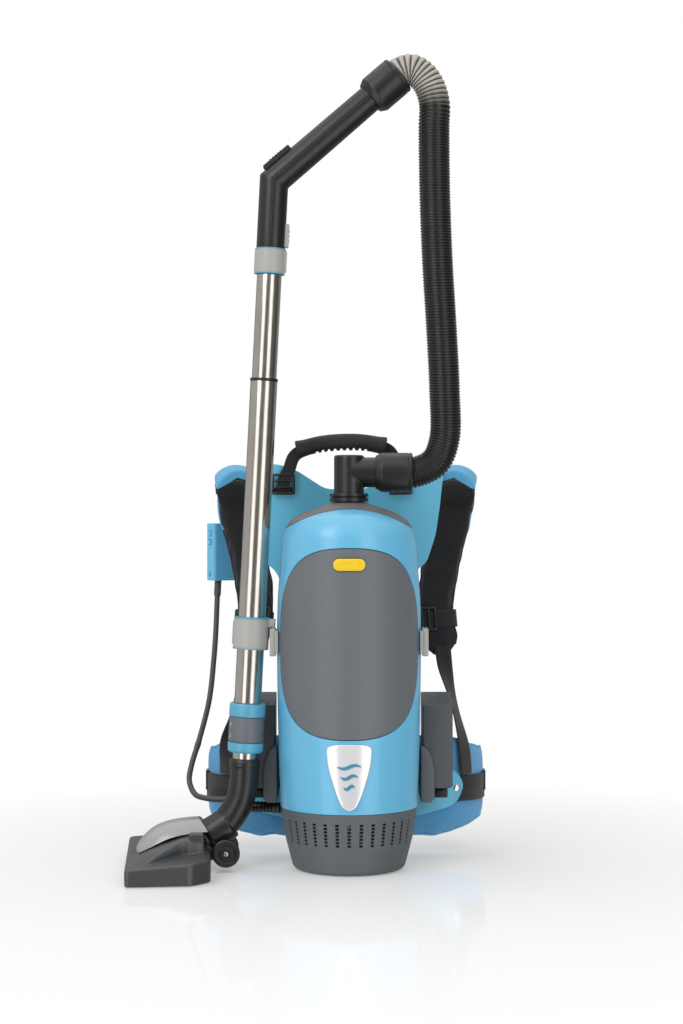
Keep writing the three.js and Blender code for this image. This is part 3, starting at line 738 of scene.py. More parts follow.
def shell_surface():
    """Body and cap as one surface, a grid with a patch round the cover's opening."""
    patch_low, patch_high = COVER_MIDDLE - PATCH_HALF, COVER_MIDDLE + PATCH_HALF
    first, last = PATCH_ROWS
    rows = list(np.linspace(BODY_OUTLINE[0][1], patch_low, first + 1))
    rows += list(np.linspace(patch_low, patch_high, last - first + 1)[1:])
    above = next(i for i, z in enumerate(PROFILE_Z) if z > patch_high + 1)
    outline = [(float(np.interp(z, PROFILE_Z, PROFILE_R)), z) for z in rows]
    outline += [(p.x, p.z) for p in PROFILE[above:]]
    angles = [k * STEP - pi / 2 for k in range(-PATCH_COLUMNS, COLUMNS - PATCH_COLUMNS)]
    vertices = [(r * cos(a), r * sin(a), z) for r, z in outline for a in angles]
    faces = []
    for j in range(len(outline) - 1):
        for i in range(COLUMNS):
            if i < 2 * PATCH_COLUMNS and first <= j < last:
                continue
            k = (i + 1) % COLUMNS
            faces.append((j * COLUMNS + i, j * COLUMNS + k, (j + 1) * COLUMNS + k, (j + 1) * COLUMNS + i))
    columns, edge = range(-PATCH_COLUMNS, PATCH_COLUMNS), PATCH_COLUMNS * STEP * CANISTER_R
    around = [(k * STEP * CANISTER_R, rows[first]) for k in columns]
    around += [(edge, z) for z in rows[first:last]]
    around += [(-k * STEP * CANISTER_R, rows[last]) for k in columns]
    around += [(-edge, z) for z in rows[last:first:-1]]
    a, b = COVER_HALF[0] + 2 * SEAM, COVER_HALF[1] + 2 * SEAM
    hole = [ray_to_superellipse((arc, z - COVER_MIDDLE), a, b, COVER_POWER) for arc, z in around]
    hole = [(arc, z + COVER_MIDDLE) for arc, z in hole]
    patch = skin("patch", wall_patch(hole, around, 6), (False, False))
    whole = joined("whole", [new_object("wall", vertices, faces), patch])
    modified(whole, "WELD", merge_threshold=0.02 * MM)
    return facing_out(whole, (0, 0, 280))


def cut_at_joint(whole, name, keep_above):
    """The part of the surface above or below the joint, given a real wall."""
    bm = bmesh.new()
    bm.from_mesh(whole.data)
    shift = SEAM if keep_above else -SEAM
    for vertex in bm.verts:                 # flatten the joint, cut level, bend it back
        vertex.co.z -= joint_height(vertex.co)
    bmesh.ops.bisect_plane(bm, geom=bm.verts[:] + bm.edges[:] + bm.faces[:],
                           plane_co=Vector((0, 0, shift)) * MM, plane_no=Z,
                           clear_outer=not keep_above, clear_inner=keep_above)
    for vertex in bm.verts:
        vertex.co.z += joint_height(vertex.co)
    return rounded_edges(thickened(from_bmesh(name, bm), WALL), 0.8, 3, 40)


def build_shell():
    """The blue body and grey cap are one surface of revolution, cut along an arched joint."""
    whole = shell_surface()
    body, cap = cut_at_joint(whole, "blue_body", False), cut_at_joint(whole, "grey_cap", True)
    bpy.data.objects.remove(whole)
    piece(body, "backpack", "body_blue", ["main_shell"])
    piece(cap, "backpack", "cap_grey", ["top_cap"])


def stadium(radius, reach, count):
    """Round-ended bar outline, its points in the order of their direction from the middle."""
    made = []
    for k in range(count):
        turn = 2 * pi * k / count
        dx, dy = cos(turn), sin(turn)
        flat = radius / abs(dy) if abs(dy) > 1e-6 else 1e9
        if flat * abs(dx) > reach:
            b = reach * abs(dx)
            flat = b + math.sqrt(max(0.0, b * b - reach * reach + radius * radius))
        made.append((dx * flat, dy * flat))
    return made


RAYS = 720                  # directions the latch's slot is worked out for
STADIUM_RAYS = stadium(LATCH_R + 0.7, LATCH_REACH, RAYS)


def latch_slot(rim):
    """The slot's outline about the latch, each point in the direction of one on the cover's rim."""
    slot = []
    for arc, z in rim:
        turn = math.atan2(z - (LATCH_MIDDLE - COVER_MIDDLE), arc) / (2 * pi) * RAYS % RAYS
        low, share = int(turn), turn % 1
        p, q = STADIUM_RAYS[low % RAYS], STADIUM_RAYS[(low + 1) % RAYS]
        slot.append((p[0] + (q[0] - p[0]) * share, p[1] + (q[1] - p[1]) * share + LATCH_MIDDLE))
    return slot


def build_cover():
    rim = superellipse(*COVER_HALF, COVER_POWER, 240)
    outer = [(arc, z + COVER_MIDDLE) for arc, z in rim]
    panel = skin("cover_panel", wall_patch(latch_slot(rim), outer, 30, 0.2), (False, False))
    facing_out(panel, (0, 0, 295))
    rounded_edges(thickened(panel, WALL), 0.9, 3, 40)
    piece(panel, "front_cover", "panel_grey", ["front_cover"])

    face = -wall_point(0, LATCH_MIDDLE)[1]
    steps = [(0, -7), (0, 0.9), (0.25, 1.7), (0.8, 2.3), (1.7, 2.6), (4.2, 2.75), (7.4, 2.8)]
    rings = [[(x, -face - stand, z + LATCH_MIDDLE) for x, z in stadium(LATCH_R - inset, LATCH_REACH, 96)]
             for inset, stand in steps]
    piece(skin("latch_bar", rings), "cover_latch", "latch_yellow", ["cover_latch"], angle=50)


def build_badge():
    middle = middle_of("badge_plate")[2]
    side = [(29.2, 36), (29.0, 29), (27.2, 14), (22, -5), (14.2, -27), (8.6, -37), (0, -42)]
    right = curve_through([(x, 0, z) for x, z in side], 2)
    half = [(0, 42.0), (8, 41.8), (16, 41.2), (22, 40.4), (27, 38.8)] + [(p.x, p.z) for p in right]
    outline = half[:-1] + [(-x, z) for x, z in half[:0:-1]]
    steps = [(1.0, 0.2), (1.0, 1.5), (0.985, 1.85), (0.96, 2.0), (0.85, 2.1), (0.6, 2.2), (0.3, 2.25)]
    rings = [[wall_point(x * s, middle + z * s, stand) for x, z in outline] for s, stand in steps]
    piece(skin("badge_shield", rings), "backpack", "badge_pearl", ["badge_plate"])
    waves = []
    for row, half_width in enumerate((15, 11, 7)):
        z0 = middle + 14 - 13 * row
        path = [Vector(wall_point(x, z0 + 2.2 * sin(x / half_width * pi), 2.5))
                for x in np.linspace(-half_width, half_width, 25)]
        frames = held_frames(path, lambda t: Z)
        waves.append(swept("wave", path, frames, lambda s, t: [
            (a * max(0.25, sin(pi * t) ** 0.5), b) for a, b in superellipse(2.3, 0.35, 4, 16)]))
    piece(joined("badge_waves", waves), "backpack", "badge_pearl", finish="mark")


def build_base():
    """A cup whose wall is a grid with its grille slots left open, thickened to a real wall."""
    vents, pitch, half_width = 13, radians(10.4), 2.25 / 84
    rib, slot_height, slots = 1.3, 3.1, 7
    foot = rounded_corners([(0, 0), (66.5, 0), (72.7, 3.4), (82.6, 41), (88.3, 80.4)], 3.5, 4)
    bottom = [p for p in foot if p[1] <= 30]
    z0 = 38.75
    marks = []
    for k in range(slots):
        low = z0 + k * (slot_height + rib)
        marks += [low, low + slot_height]
    heights = sorted(set([33.0, 36.0] + marks + [71.0, 75.0, 80.4]))
    wall = [(float(np.interp(z, [p[1] for p in foot[2:]], [p[0] for p in foot[2:]])), z)
            for z in heights]
    rows = bottom + wall
    angles = []
    for k in range(vents):
        middle = pitch * (k - (vents - 1) / 2) - pi / 2
        angles += [middle - half_width, middle, middle + half_width, middle + pitch / 2]
    rest = 2 * pi - (angles[-1] - angles[0])
    angles += [angles[-1] + rest * k / 72 for k in range(1, 72)]
    count = len(angles)
    vertices = [(r * cos(a), r * sin(a), z) for r, z in rows for a in angles]
    faces = []
    for j in range(len(rows) - 1):
        height = (rows[j][1] + rows[j + 1][1]) / 2
        in_slot = any(low < height < low + slot_height for low in marks[::2])
        for i in range(count):
            k = (i + 1) % count
            open_here = in_slot and i < 4 * vents and i % 4 in (0, 1)
            if not open_here and rows[j + 1][0] > 0.01:
                faces.append((j * count + i, j * count + k, (j + 1) * count + k, (j + 1) * count + i))
    cup = new_object("base_cup", vertices, faces)
    modified(cup, "WELD", merge_threshold=0.01 * MM)
    facing_out(cup, (0, 0, 50))
    rounded_edges(thickened(cup, WALL), 0.45, 2, 50)
    piece(cup, "backpack", "base_grey", ["base_housing"])


def build_inside():
    pleats, mouth = 24, 24      # the bag is smooth at its mouth's radius and pleated further out
    outline = rounded_corners([(mouth, 424), (58, 419), (67, 398), (67, 200), (54, 183), (1, 181)], 12, 5)
    rings = []
    for p in evenly([Vector((r, 0, z)) for r, z in outline], 5):
        soft = min(1.0, max(0.0, (p.x - mouth) / 30))
        rings.append([])
        for k in range(192):
            a = 2 * pi * k / 192
            r = p.x - 2 + 2.2 * soft * cos(pleats * a) + 1.2 * sin(3 * a + p.z / 31)
            rings[-1].append((r * cos(a), r * sin(a), p.z))
    bag = skin("filter_bag", rings, (False, True))
    facing_out(bag, (0, 0, 300))
    piece(thickened(bag, 1.2), "backpack", "paper", ["dust_bag"])
    collar = ring("bag_collar", 22, 40, 422.5, 427, 0.8)
    piece(collar, "backpack", "light_grey")


def side_block(name, side, near, far, low, high, edge):
    """A block on one side, from near to far off the middle and between two (y, z) corners."""
    x0, x1 = sorted((side * near, side * far))
    return block(name, (x0, *low), (x1, *high), edge)


def build_lugs():
    for name, side in (("left", -1), ("right", 1)):
        low, high = box_of(f"parking_lug_{name}")
        lug = block(f"lug_{name}", low, high, 1.6)
        pocket = block("pocket", (low.x + 1.7, low.y + 5, high.z - 16),
                       (high.x - 1.6, high.y - 5, high.z + 3), 0.6)
        carved(lug, pocket)
        foot = side_block("foot", side, 91, 95.2, (low.y - 4, low.z + 3), (high.y + 4, high.z - 3), 1)
        rounded_edges(lug, 0.35, 2, 50)
        piece(lug, "backpack", "light_grey", [f"parking_lug_{name}"])
        piece(foot, "backpack", "light_grey").name = f"lug_foot_{name}"


# ---------------------------------------------------------------- inlet and hose

PIPE_R = 19.5
GRIP_R, GRIP_END_R = 18.6, 17.6   # grip tube at its foot and at the upper cuff
CUFF_R, CUFF_LENGTH = 25.5, 48
CUFF_START = box_of("hose_cuff_lower")[0].x
ARM_CUFF = 164.4
HOSE_CREST, HOSE_VALLEY, HOSE_PITCH, ARCH_PITCH = 20.4, 18.9, 3.7, 5.5
HOSE_STEP = HOSE_PITCH / 7
OPENS_AT, OPENS_OVER = 950, 50      # the height where the ribs start to open, and over how much
PALES_AT, PALES_OVER = 985, 28      # the same for the painted top light that turns the ribs pale


def build_inlet():
    collar = turned_ring("neck_collar", [(20.5, 475.2), (25, 475.2), (25.4, 480), (23, 480.4),
                                         (23, 481.6), (25.4, 482), (25, 486), (20.5, 486)], 0.6)
    piece(collar, "backpack", "black_plastic", ["neck_ring"])
    upright = rod("upright", PIPE_R, 428, BRANCH_Z + 22.5, 3.5)
    branch = placed(rod("branch", PIPE_R, 0, 60, 1), frame_at(Vector((0, 0, BRANCH_Z)), X, Y))
    elbow = fused("elbow", [upright, branch], 0.9, 3)
    elbow.name = "elbow_moulding"
    piece(elbow, "inlet", "black_plastic", ["inlet_elbow"], angle=60)
    piece(placed(cuff("cuff_lower", 19.7), frame_at(Vector((CUFF_START, 0, BRANCH_Z)), X, Y)),
          "lower_cuff", "black_plastic", ["hose_cuff_lower"])
    upper = placed(cuff("cuff_upper", GRIP_END_R + 0.2), ARM @ Matrix.Translation((0, 0, ARM_CUFF)))
    piece(upper, "upper_cuff", "black_plastic", ["hose_cuff_upper"])


def cuff(name, lip):
    """A turning hose cuff: coned mouth, plain barrel, a fine groove and a raised bayonet hook."""
    bore = 20.8
    outline = [(lip, 0), (21.2, 0), (CUFF_R - 0.2, 7.5), (CUFF_R, 9), (CUFF_R, 41.8),
               (CUFF_R - 0.7, 42.3), (CUFF_R - 0.7, 43.1), (CUFF_R, 43.6), (CUFF_R, CUFF_LENGTH - 1.6),
               (CUFF_R - 1.6, CUFF_LENGTH), (bore + 0.8, CUFF_LENGTH), (bore, CUFF_LENGTH - 3),
               (bore, 7), (lip, 5)]
    body = turned_ring(name, outline, 0.4)
    marks = []
    for turn in (0.4, pi + 0.4):
        hook = [(0.0, 30), (0.0, 24), (0.05, 21.5), (0.14, 20.5), (0.24, 21.5), (0.27, 24)]
        r = CUFF_R - 0.2
        path = curve_through([(r * cos(turn + a), r * sin(turn + a), z) for a, z in hook], 1.0)
        marks.append(swept("hook", path, carried_frames(path, Z), lambda s, t: circle(0.55, 8)))
    return joined(name, [body] + marks)


def hose_path():
    """The hose's middle line, from inside the lower cuff to inside the upper one."""
    into_cuff = [ARM @ Vector((0, 0, ARM_CUFF + depth)) for depth in (54, 43, 34)]
    rise = [(68, 0, BRANCH_Z), (84, 0, BRANCH_Z), (111.4, -0.5, 526.6), (124, -1, 557),
            (124, -2, 621), (120, -4, 700), (114.5, -6, 790), (111, -9, 880), (110, -11, 960),
            (110.5, -12, 990), (105, -12, 1011), (95, -12, 1026), (82, -12, 1034)]
    return curve_through([Vector(p) for p in rise] + into_cuff, HOSE_STEP)


def build_hose():
    """One ribbed hose in three lengths, each reaching between two bodies that a joint joins."""
    path = hose_path()
    frames = carried_frames(path, Y)
    sides = 40
    parts = [("hose_lower", ("inlet", "backpack"), 0, 650, (526, 640)),
             ("hose_middle", ("backpack", "wand"), 650, 830, (655, 825)),
             ("hose_upper", ("wand", "handle"), 830, 2000, (835, 1005))]
    opening = [min(1.0, max(0.0, (p.z - OPENS_AT) / OPENS_OVER)) for p in path]
    turns = np.cumsum([HOSE_STEP / (HOSE_PITCH + (ARCH_PITCH - HOSE_PITCH) * share) for share in opening])
    for name, bodies, low, high, (start, end) in parts:
        ids = [i for i, p in enumerate(path) if low - HOSE_STEP < p.z <= high] if low else \
            [i for i, p in enumerate(path) if p.z <= high and i < len(path) // 2]
        rings, painted_top_light, crests = [], [], []
        for i in ids:
            side, up = frames[i]
            ring_points = []
            for k in range(sides):
                turn = 2 * pi * k / sides
                crest = (0.5 + 0.5 * cos(2 * pi * (turns[i] + k / sides))) ** 0.8
                r = HOSE_VALLEY + (HOSE_CREST - HOSE_VALLEY) * crest
                ring_points.append(path[i] + side * (r * cos(turn)) + up * (r * sin(turn)))
                # painted top light: none below PALES_AT, full once PALES_OVER higher up
                painted_top_light.append(min(1.0, max(0.0, (ring_points[-1].z - PALES_AT) / PALES_OVER)))
                crests.append(crest)
            rings.append(ring_points)
        made = skin(name, rings, (False, False))
        for kind, values in zip(HOSE_POINT_VALUES, (painted_top_light, crests)):
            made.data.attributes.new(kind, "FLOAT", "POINT").data.foreach_set("value", values)
        facing_out(made)
        nodes = ["hose"] if low == 0 else []
        near = min(path, key=lambda p: abs(p.z - start))
        far = min(path, key=lambda p: abs(p.z - end))
        piece(made, bodies, "rubber_black", nodes, "hose", 80, between=(near, far))


# ---------------------------------------------------------------- wand

TUBE_R, SLEEVE_R = 16.0, 17.5
BEND_Z = (WAND.inverted() @ ARM.translation).z
COLLAR = (771, 803)         # the clamp between tube and grip, along the wand


def on_wand(obj):
    return placed(obj, WAND)


def ridged_button(name, base, face, low, high, half, ridges):
    """A thumb piece standing off a tube: flat face, square ends and a few cross ridges."""
    lift = 0.9 if face > base else -0.9
    outline = [(base, low), (face - lift, low), (face, low + 1)]
    for k in range(ridges):
        z = low + (high - low) * (0.3 + 0.4 * k / max(1, ridges - 1))
        outline += [(face, z - 1.0), (face + lift, z - 0.4), (face + lift, z + 0.4), (face, z + 1.0)]
    outline += [(face, high - 1), (face - lift, high), (base, high)]
    made = prism(name, outline, -half, half, 0.7)
    return placed(facing_out(made), STANDING)


def build_handle():
    """The grip is a tube bent in a mitre, its upper arm tapering towards the hose cuff."""
    corner, out = Vector((0, 0, BEND_Z)), (WAND.inverted() @ (ARM @ Z)) - Vector((0, 0, BEND_Z))
    normal = (Z + out).normalized()
    sides, soft = 72, 1.6

    def ring_at(middle, way, r):
        across = Y.cross(way).normalized()
        return [middle + across * a + Y * b for a, b in circle(r, sides)]

    def mitre(way, r):
        return [p - way * ((p - corner).dot(normal) / way.dot(normal)) for p in ring_at(corner, way, r)]

    rings = [ring_at(Vector((0, 0, z)), Z, r) for z, r in
             ((COLLAR[1] + 0.3, TUBE_R + 0.3), (COLLAR[1] + 0.3, GRIP_R - 0.8),
              (COLLAR[1] + 0.6, GRIP_R - 0.3), (COLLAR[1] + 1.2, GRIP_R), (825, GRIP_R), (850, GRIP_R))]
    edge = mitre(Z, GRIP_R)
    before, after = [p - Z * soft for p in edge], [p + out * soft for p in edge]
    rings += [before, [(a + b) / 4 + c / 2 for a, b, c in zip(before, after, edge)], after]
    for k in range(8):
        share = (k + 1) / 8
        length = 26 + (ARM_CUFF + 20 - 26) * share
        rings.append(ring_at(corner + out * length, out, GRIP_R + (GRIP_END_R - GRIP_R) * share))
    grip = skin("grip", rings)
    seams = []
    for side in (-1, 1):
        line = [Vector((0, side * (GRIP_R - 0.25), COLLAR[1] + 4)), corner + Y * side * (GRIP_R - 0.25),
                corner + out * ARM_CUFF + Y * side * (GRIP_END_R - 0.2)]
        line = evenly(line, 6)
        seams.append(swept("seam", line, carried_frames(line, Y), lambda s, t: circle(0.45, 8)))
    handle = joined("grip_moulding", [grip] + seams)
    piece(on_wand(facing_out(handle)), "handle", "black_plastic", ["wand_handle"], angle=38)
    slider = ridged_button("suction_slide", -17.2, -23.6, 1, 44, 8.5, 5)
    piece(placed(slider, ARM), "suction_slider", "rubber_black", ["suction_slider"], angle=40)
    latch = ridged_button("latch_key", 17.4, 22.8, COLLAR[1] + 3, COLLAR[1] + 33, 6, 3)
    piece(on_wand(latch), "handle_latch", "light_grey", ["handle_latch"], angle=40)
    low, high = COLLAR
    body = turned_ring("collar", [(TUBE_R + 0.6, low), (19.2, low), (19.7, low + 2), (19.7, high - 2),
                                  (19.2, high), (TUBE_R + 0.6, high)], 0.8)
    tongue = block("tongue", (11, -6.5, low + 3), (21.4, 6.5, high - 1.5), 1.4)
    split = block("split", (-20.3, -1.1, low + 1.5), (-15.5, 1.1, high - 1.5), 0.5)
    piece(on_wand(joined("collar_clamp", [body, tongue, split])), "handle", "light_grey",
          ["handle_collar"])
    trims = [ring("trim", 17.2, 20.0, z, z + 1.3, 0.4) for z in (low - 0.6, high - 0.7)]
    piece(on_wand(joined("collar_trims", trims)), "handle", "plate_teal", finish="collar_blue")


def build_tubes():
    for name, inner, outer, low, high, body, node in (
            ("upper_pipe", TUBE_R - 1, TUBE_R, 430, COLLAR[1], "handle", "upper_tube"),
            ("lower_pipe", TUBE_R + 0.4, SLEEVE_R, 152, 631.6, "wand", "lower_tube"),
            ("neck_pipe", TUBE_R - 1, TUBE_R, 126, 250, "wand", "neck_tube")):
        pipe = ring(name, inner, outer, low, high, 0.3, 2)
        piece(on_wand(pipe), body, "stainless", [node])
    piece(on_wand(ring("end_ring", TUBE_R + 0.5, 18.1, 631.8, 635.6, 0.6)), "wand", "black_plastic",
          ["tube_end_ring"])


def build_clip():
    outline = [(SLEEVE_R + 0.4, 286.4), (22.6, 286.4), (23, 288), (23, 323.6), (22.6, 325.2),
               (SLEEVE_R + 0.4, 325.2)]
    band = turned_ring("band", outline, 0.7)
    hook = block("hook", (18.8, -8, 314.5), (30.5, 8, 325.3), 1.2)
    lip = block("lip", (26.4, -8, 301), (29.4, 8, 316), 1.0)
    rib = block("rib", (-24.2, -5.5, 291), (-21, 5.5, 321), 1.2)
    clip = joined("clip_body", [band, hook, lip, rib])
    piece(on_wand(clip), "wand", "light_grey", ["wand_clip"])
    trims = [ring("trim", SLEEVE_R + 0.3, r, z, z + 1.5, 0.5) for r, z in ((23.3, 285.2), (23.3, 325))]
    piece(on_wand(joined("clip_trims", trims)), "wand", "plate_teal", finish="collar_blue")


def build_lock():
    """Blue end collars with a grey twist sleeve between them."""
    outer, waist = 23.0, 19.6
    lower = [(SLEEVE_R + 0.4, 152.5), (20.8, 151.5), (outer, 154.5), (outer + 0.2, 164.6), (waist, 165)]
    upper = [(waist, 198.1), (outer + 0.4, 198.3), (outer + 0.2, 212.5), (outer - 0.8, 215),
             (SLEEVE_R + 0.4, 215)]
    spool = turned_ring("lock_spool", lower + upper, 0.8)
    piece(on_wand(spool), "wand", "plate_teal", ["lock_collar"], "collar_blue")
    grooves, spacing, depth = 44, 4, 0.12       # fine grooves down the grip, every fourth point
    sides = grooves * spacing
    sleeve = []
    for z, r in ((165.3, 20.2), (165.3, 22.0), (165.9, 22.6), (167.4, 22.9), (196, 22.9),
                 (197.3, 22.6), (197.8, 22.0), (197.8, 20.2)):
        plain, cut_in = circle(r, sides), circle(r - depth if 166 < z < 197 else r, sides)
        sleeve.append([(*(plain if k % spacing else cut_in)[k], z) for k in range(sides)])
    body = skin("twist_sleeve", sleeve + [sleeve[0]], (False, False))
    modified(body, "WELD", merge_threshold=0.01 * MM)
    facing_out(body)
    piece(on_wand(body), "lock_sleeve", "panel_grey", ["lock_sleeve"], angle=50)
    arrows = []
    for z, tip in ((187, 1), (174, -1)):
        turn = radians(-150)
        at = Matrix.Translation((22.9 * cos(turn), 22.9 * sin(turn), z)) @ \
            Matrix.Rotation(turn, 4, "Z") @ Matrix.Rotation(pi / 2, 4, "Y")
        arrow = prism("arrow", [(-2.6 * tip, -1.8), (2.6 * tip, 0), (-2.6 * tip, 1.8)], -0.3, 0.25)
        arrows.append(placed(facing_out(arrow), at))
    piece(on_wand(joined("twist_arrows", arrows)), "lock_sleeve", "light_grey")


# ---------------------------------------------------------------- neck and floor tool

def build_neck():
    middle = SWIVEL.translation.y
    bend = [(-134.9, 143), (-136.0, 116), (-141, 90), (-153, 68), (-168, 52.5), (-181, 42.6)]
    path = curve_through([(x, middle, z) for x, z in bend], 2.5)
    elbow = swept("elbow", path, carried_frames(path, Y), lambda s, t: circle(19 - 0.25 * (s > 46), 48))
    rim = rod("rim", 20.2, -2, 6, 1.5, 64)
    placed(rim, frame_at(Vector((path[0].x - 0.1, middle, path[0].z - 4)), -axis_of("wand_lift"), X))
    cup = turned("cup", rounded_corners([(0, -31), (20.6, -31), (22.6, -4), (22.0, -1.5), (0, -1.5)],
                                        1.0), 64)
    placed(cup, SWIVEL)
    neck = fused("neck_moulding", [elbow, rim, cup], 0.9, 2)
    piece(neck, "wand", "black_plastic", ["neck_elbow"], angle=45)


TOOL_Y = TOOL.to_3x3() @ Y


def bar_across(name, radius, low, high, at, edge=0.8, sides=64):
    """A turned bar along the tool's width, from one distance off the pivot's middle to another."""
    return placed(rod(name, radius, low, high, edge, sides), frame_at(at, TOOL_Y, X))


WHEEL_INNER = 23            # inner face of each wheel, from the knuckle's middle


def build_knuckle():
    tilt = pivot_of("tool_tilt")
    axle = pivot_of("wheel_near_spin")
    drum = turned("drum", rounded_corners([(0, -1), (16.5, -1), (20.5, 2.5), (20.5, 7), (14, 14), (0, 16)],
                                          2), 64)
    placed(drum, SWIVEL)
    web_line = rounded_corners([(-6, 38), (3, 46), (22, 32), (37, 25), (48, 28), (50, 21), (44, 16),
                                (24, 12), (4, 22), (-6, 30)], 3, 4, True)
    web = prism("web", web_line, -10, 10, 2.0)
    lying = Matrix((TOOL.to_3x3() @ X, Z, -TOOL_Y)).transposed().to_4x4()
    lying.translation = Vector((tilt.x, tilt.y, 0))
    placed(facing_out(web), lying)
    hub = bar_across("hub", 4.6, -WHEEL_INNER + 0.5, WHEEL_INNER - 0.5, axle)
    yoke = bar_across("yoke", 8, -15.2, 15.2, tilt)
    body = fused("knuckle_moulding", [drum, web, hub, yoke], 0.9, 3)
    piece(body, "knuckle", "black_plastic", ["knuckle"], angle=60)
    pin = WHEEL_INNER + 10 + 1.5
    pins = [bar_across("pin", 3, -pin, pin, axle, 0.8), bar_across("pin", 4, -25, 25, tilt, 0.8)]
    piece(joined("knuckle_pins", pins), "knuckle", "metal_dark")
    for name, way in (("near", -1), ("far", 1)):
        tyre = [(3.6, -5), (8, -5), (8.4, -4), (12.2, -4), (12.8, -5), (16.1, -5), (17.9, -3.2),
                (17.9, 3.2), (16.1, 5), (3.6, 5)]
        wheel = turned_ring(f"wheel_{name}_tyre", tyre, 0.7, sides=72)
        placed(wheel, frame_at(axle + TOOL_Y * (way * (WHEEL_INNER + 5)), TOOL_Y * -way, X))
        piece(wheel, f"wheel_{name}", "black_plastic", [f"wheel_{name}"], angle=50)


TOOL_HALF, TOOL_DEEP = 132.0, 107.0
BRISTLES = 117              # half length of the brush rows


def tool_outline(inset):
    half, deep = TOOL_HALF, TOOL_DEEP
    points = [(inset, -half + inset), (84, 4 - half + inset), (deep - inset, 28 - half + inset / 2),
              (deep - inset, half - 28 - inset / 2), (84, half - 4 - inset), (inset, half - inset)]
    return rounded_corners(points, 7, 5, True)


def build_floor_tool():
    """Deck, stepped hump and tall back block fused into one moulding, with room for the pedal."""
    # the slab's edge as (inset, height): first above the floor, then below the sloping deck
    rings = [[(x, y, height) for x, y in tool_outline(inset)]
             for inset, height in ((1.2, 1.0), (0.3, 1.8), (0.0, 9))]
    rings += [[(x, y, 22.5 + 0.065 * x - drop) for x, y in tool_outline(inset)] for inset, drop in
              ((0.0, 3.0), (0.8, 1.2), (2.6, 0.2), (7, 0), (16, 0.6), (30, 0.6), (46, 0.6))]
    slab = skin("slab", rings)
    humps = [(11, 90, 21.5), (12, 96, 22.5), (16, 108, 24.5), (24, 108, 28.5), (34, 98, 33),
             (44, 84, 37.5), (56, 70, 42), (68, 58, 46.5), (79, 52, 49.5), (92, 50, 51),
             (98, 48, 50.4), (100, 46, 46)]
    rows, foot = [], 17
    for x, half, top in humps:
        rows.append([(x, half * math.copysign(abs(cos(a)) ** 0.5, cos(a)),
                      foot + (top - foot) * sin(a) ** 0.42) for a in np.linspace(0, pi, 41)])
    hump = skin("hump", rows)
    back = block("back_block", (80, -47, 20), (99, 47, 52.5), 2.5)
    shell = fused("tool_shell", [slab, hump, back], 1.2, 2)
    middle = PIVOT_IN_TOOL.y
    bay = WHEEL_INNER + 13
    notch = block("notch", (62, middle - 16.4, 15), (130, middle + 16.4, 80), 0)
    wheels = block("wheels", (96, middle - bay, -5), (130, middle + bay, 80), 0)
    under = block("under", (84, middle - bay, -5), (98, middle + bay, 22), 0)
    # under the pedal, deep enough for it to rock
    room = prism("room", [(8, 16.6), (15, 16.8), (24, 22.5), (40, 31.2), (62, 42.3), (80, 46.5),
                          (130, 47.5), (130, 90), (8, 90)], -35.5, 35.5, 0)
    placed(facing_out(room), STANDING)
    hollow = block("hollow", (5, -TOOL_HALF + 8, -2), (80, TOOL_HALF - 8, 7), 0)
    reach = BRISTLES + 2
    brush_room = [block("bar_room", (x, -reach, -2), (x + 9, reach, 15.8), 0) for x in (13, 72)]
    brush_room += [block("tie_room", (13, y, -2), (81, y + 10, 15.4), 0) for y in (-reach, reach - 10)]
    carved(shell, notch, wheels, under, room, hollow, *brush_room)
    piece(placed(shell, TOOL), "floor_tool", "black_plastic", ["tool_body"], "tool_grey", 45)

    sole = prism("sole_plate", tool_outline(9), 1.4, 6.6, 0.8)
    slots = [block("slot", (x0, -y, -5), (x1, y, 20), 0) for x0, x1, y in
             ((13, 22, BRISTLES + 2), (36, 58, 70), (72, 81, BRISTLES + 1.4))]
    carved(sole, *slots, block("bay", (85, middle - bay, -5), (130, middle + bay, 80), 0))
    piece(placed(sole, TOOL), "floor_tool", "black_plastic", ["tool_sole"], angle=45)
    build_brushes()
    build_pedal()


def build_brushes():
    """Two rows of bristle tufts in bars joined at their ends."""
    bars = [block("bar", (x, -BRISTLES, 8.6), (x + 7, BRISTLES, 10.4), 0.5) for x in (14, 73)]
    bars += [block("tie", (14, y, 7.2), (80, y + 6, 9.7), 0.5) for y in (-BRISTLES, BRISTLES - 6)]
    tufts = []
    for x in (15.4, 17.5, 19.6, 74.4, 76.5, 78.6):
        for k in range(78):
            y = 1.5 - BRISTLES + 3.0 * k
            lean = 0.5 * sin(k * 2.4 + x)
            path = [Vector((x, y, 9)), Vector((x + lean * 0.4, y, 5)), Vector((x + lean, y, 0.9))]
            tufts.append(swept("tuft", path, carried_frames(path, Y),
                               lambda s, t: circle(0.95 + 0.35 * t, 6)))
    piece(placed(joined("brush_bars", bars), TOOL), "brush", "black_plastic", ["brush_frame"])
    piece(placed(joined("brush_tufts", tufts), TOOL), "brush", "rubber_black", finish="bristle")


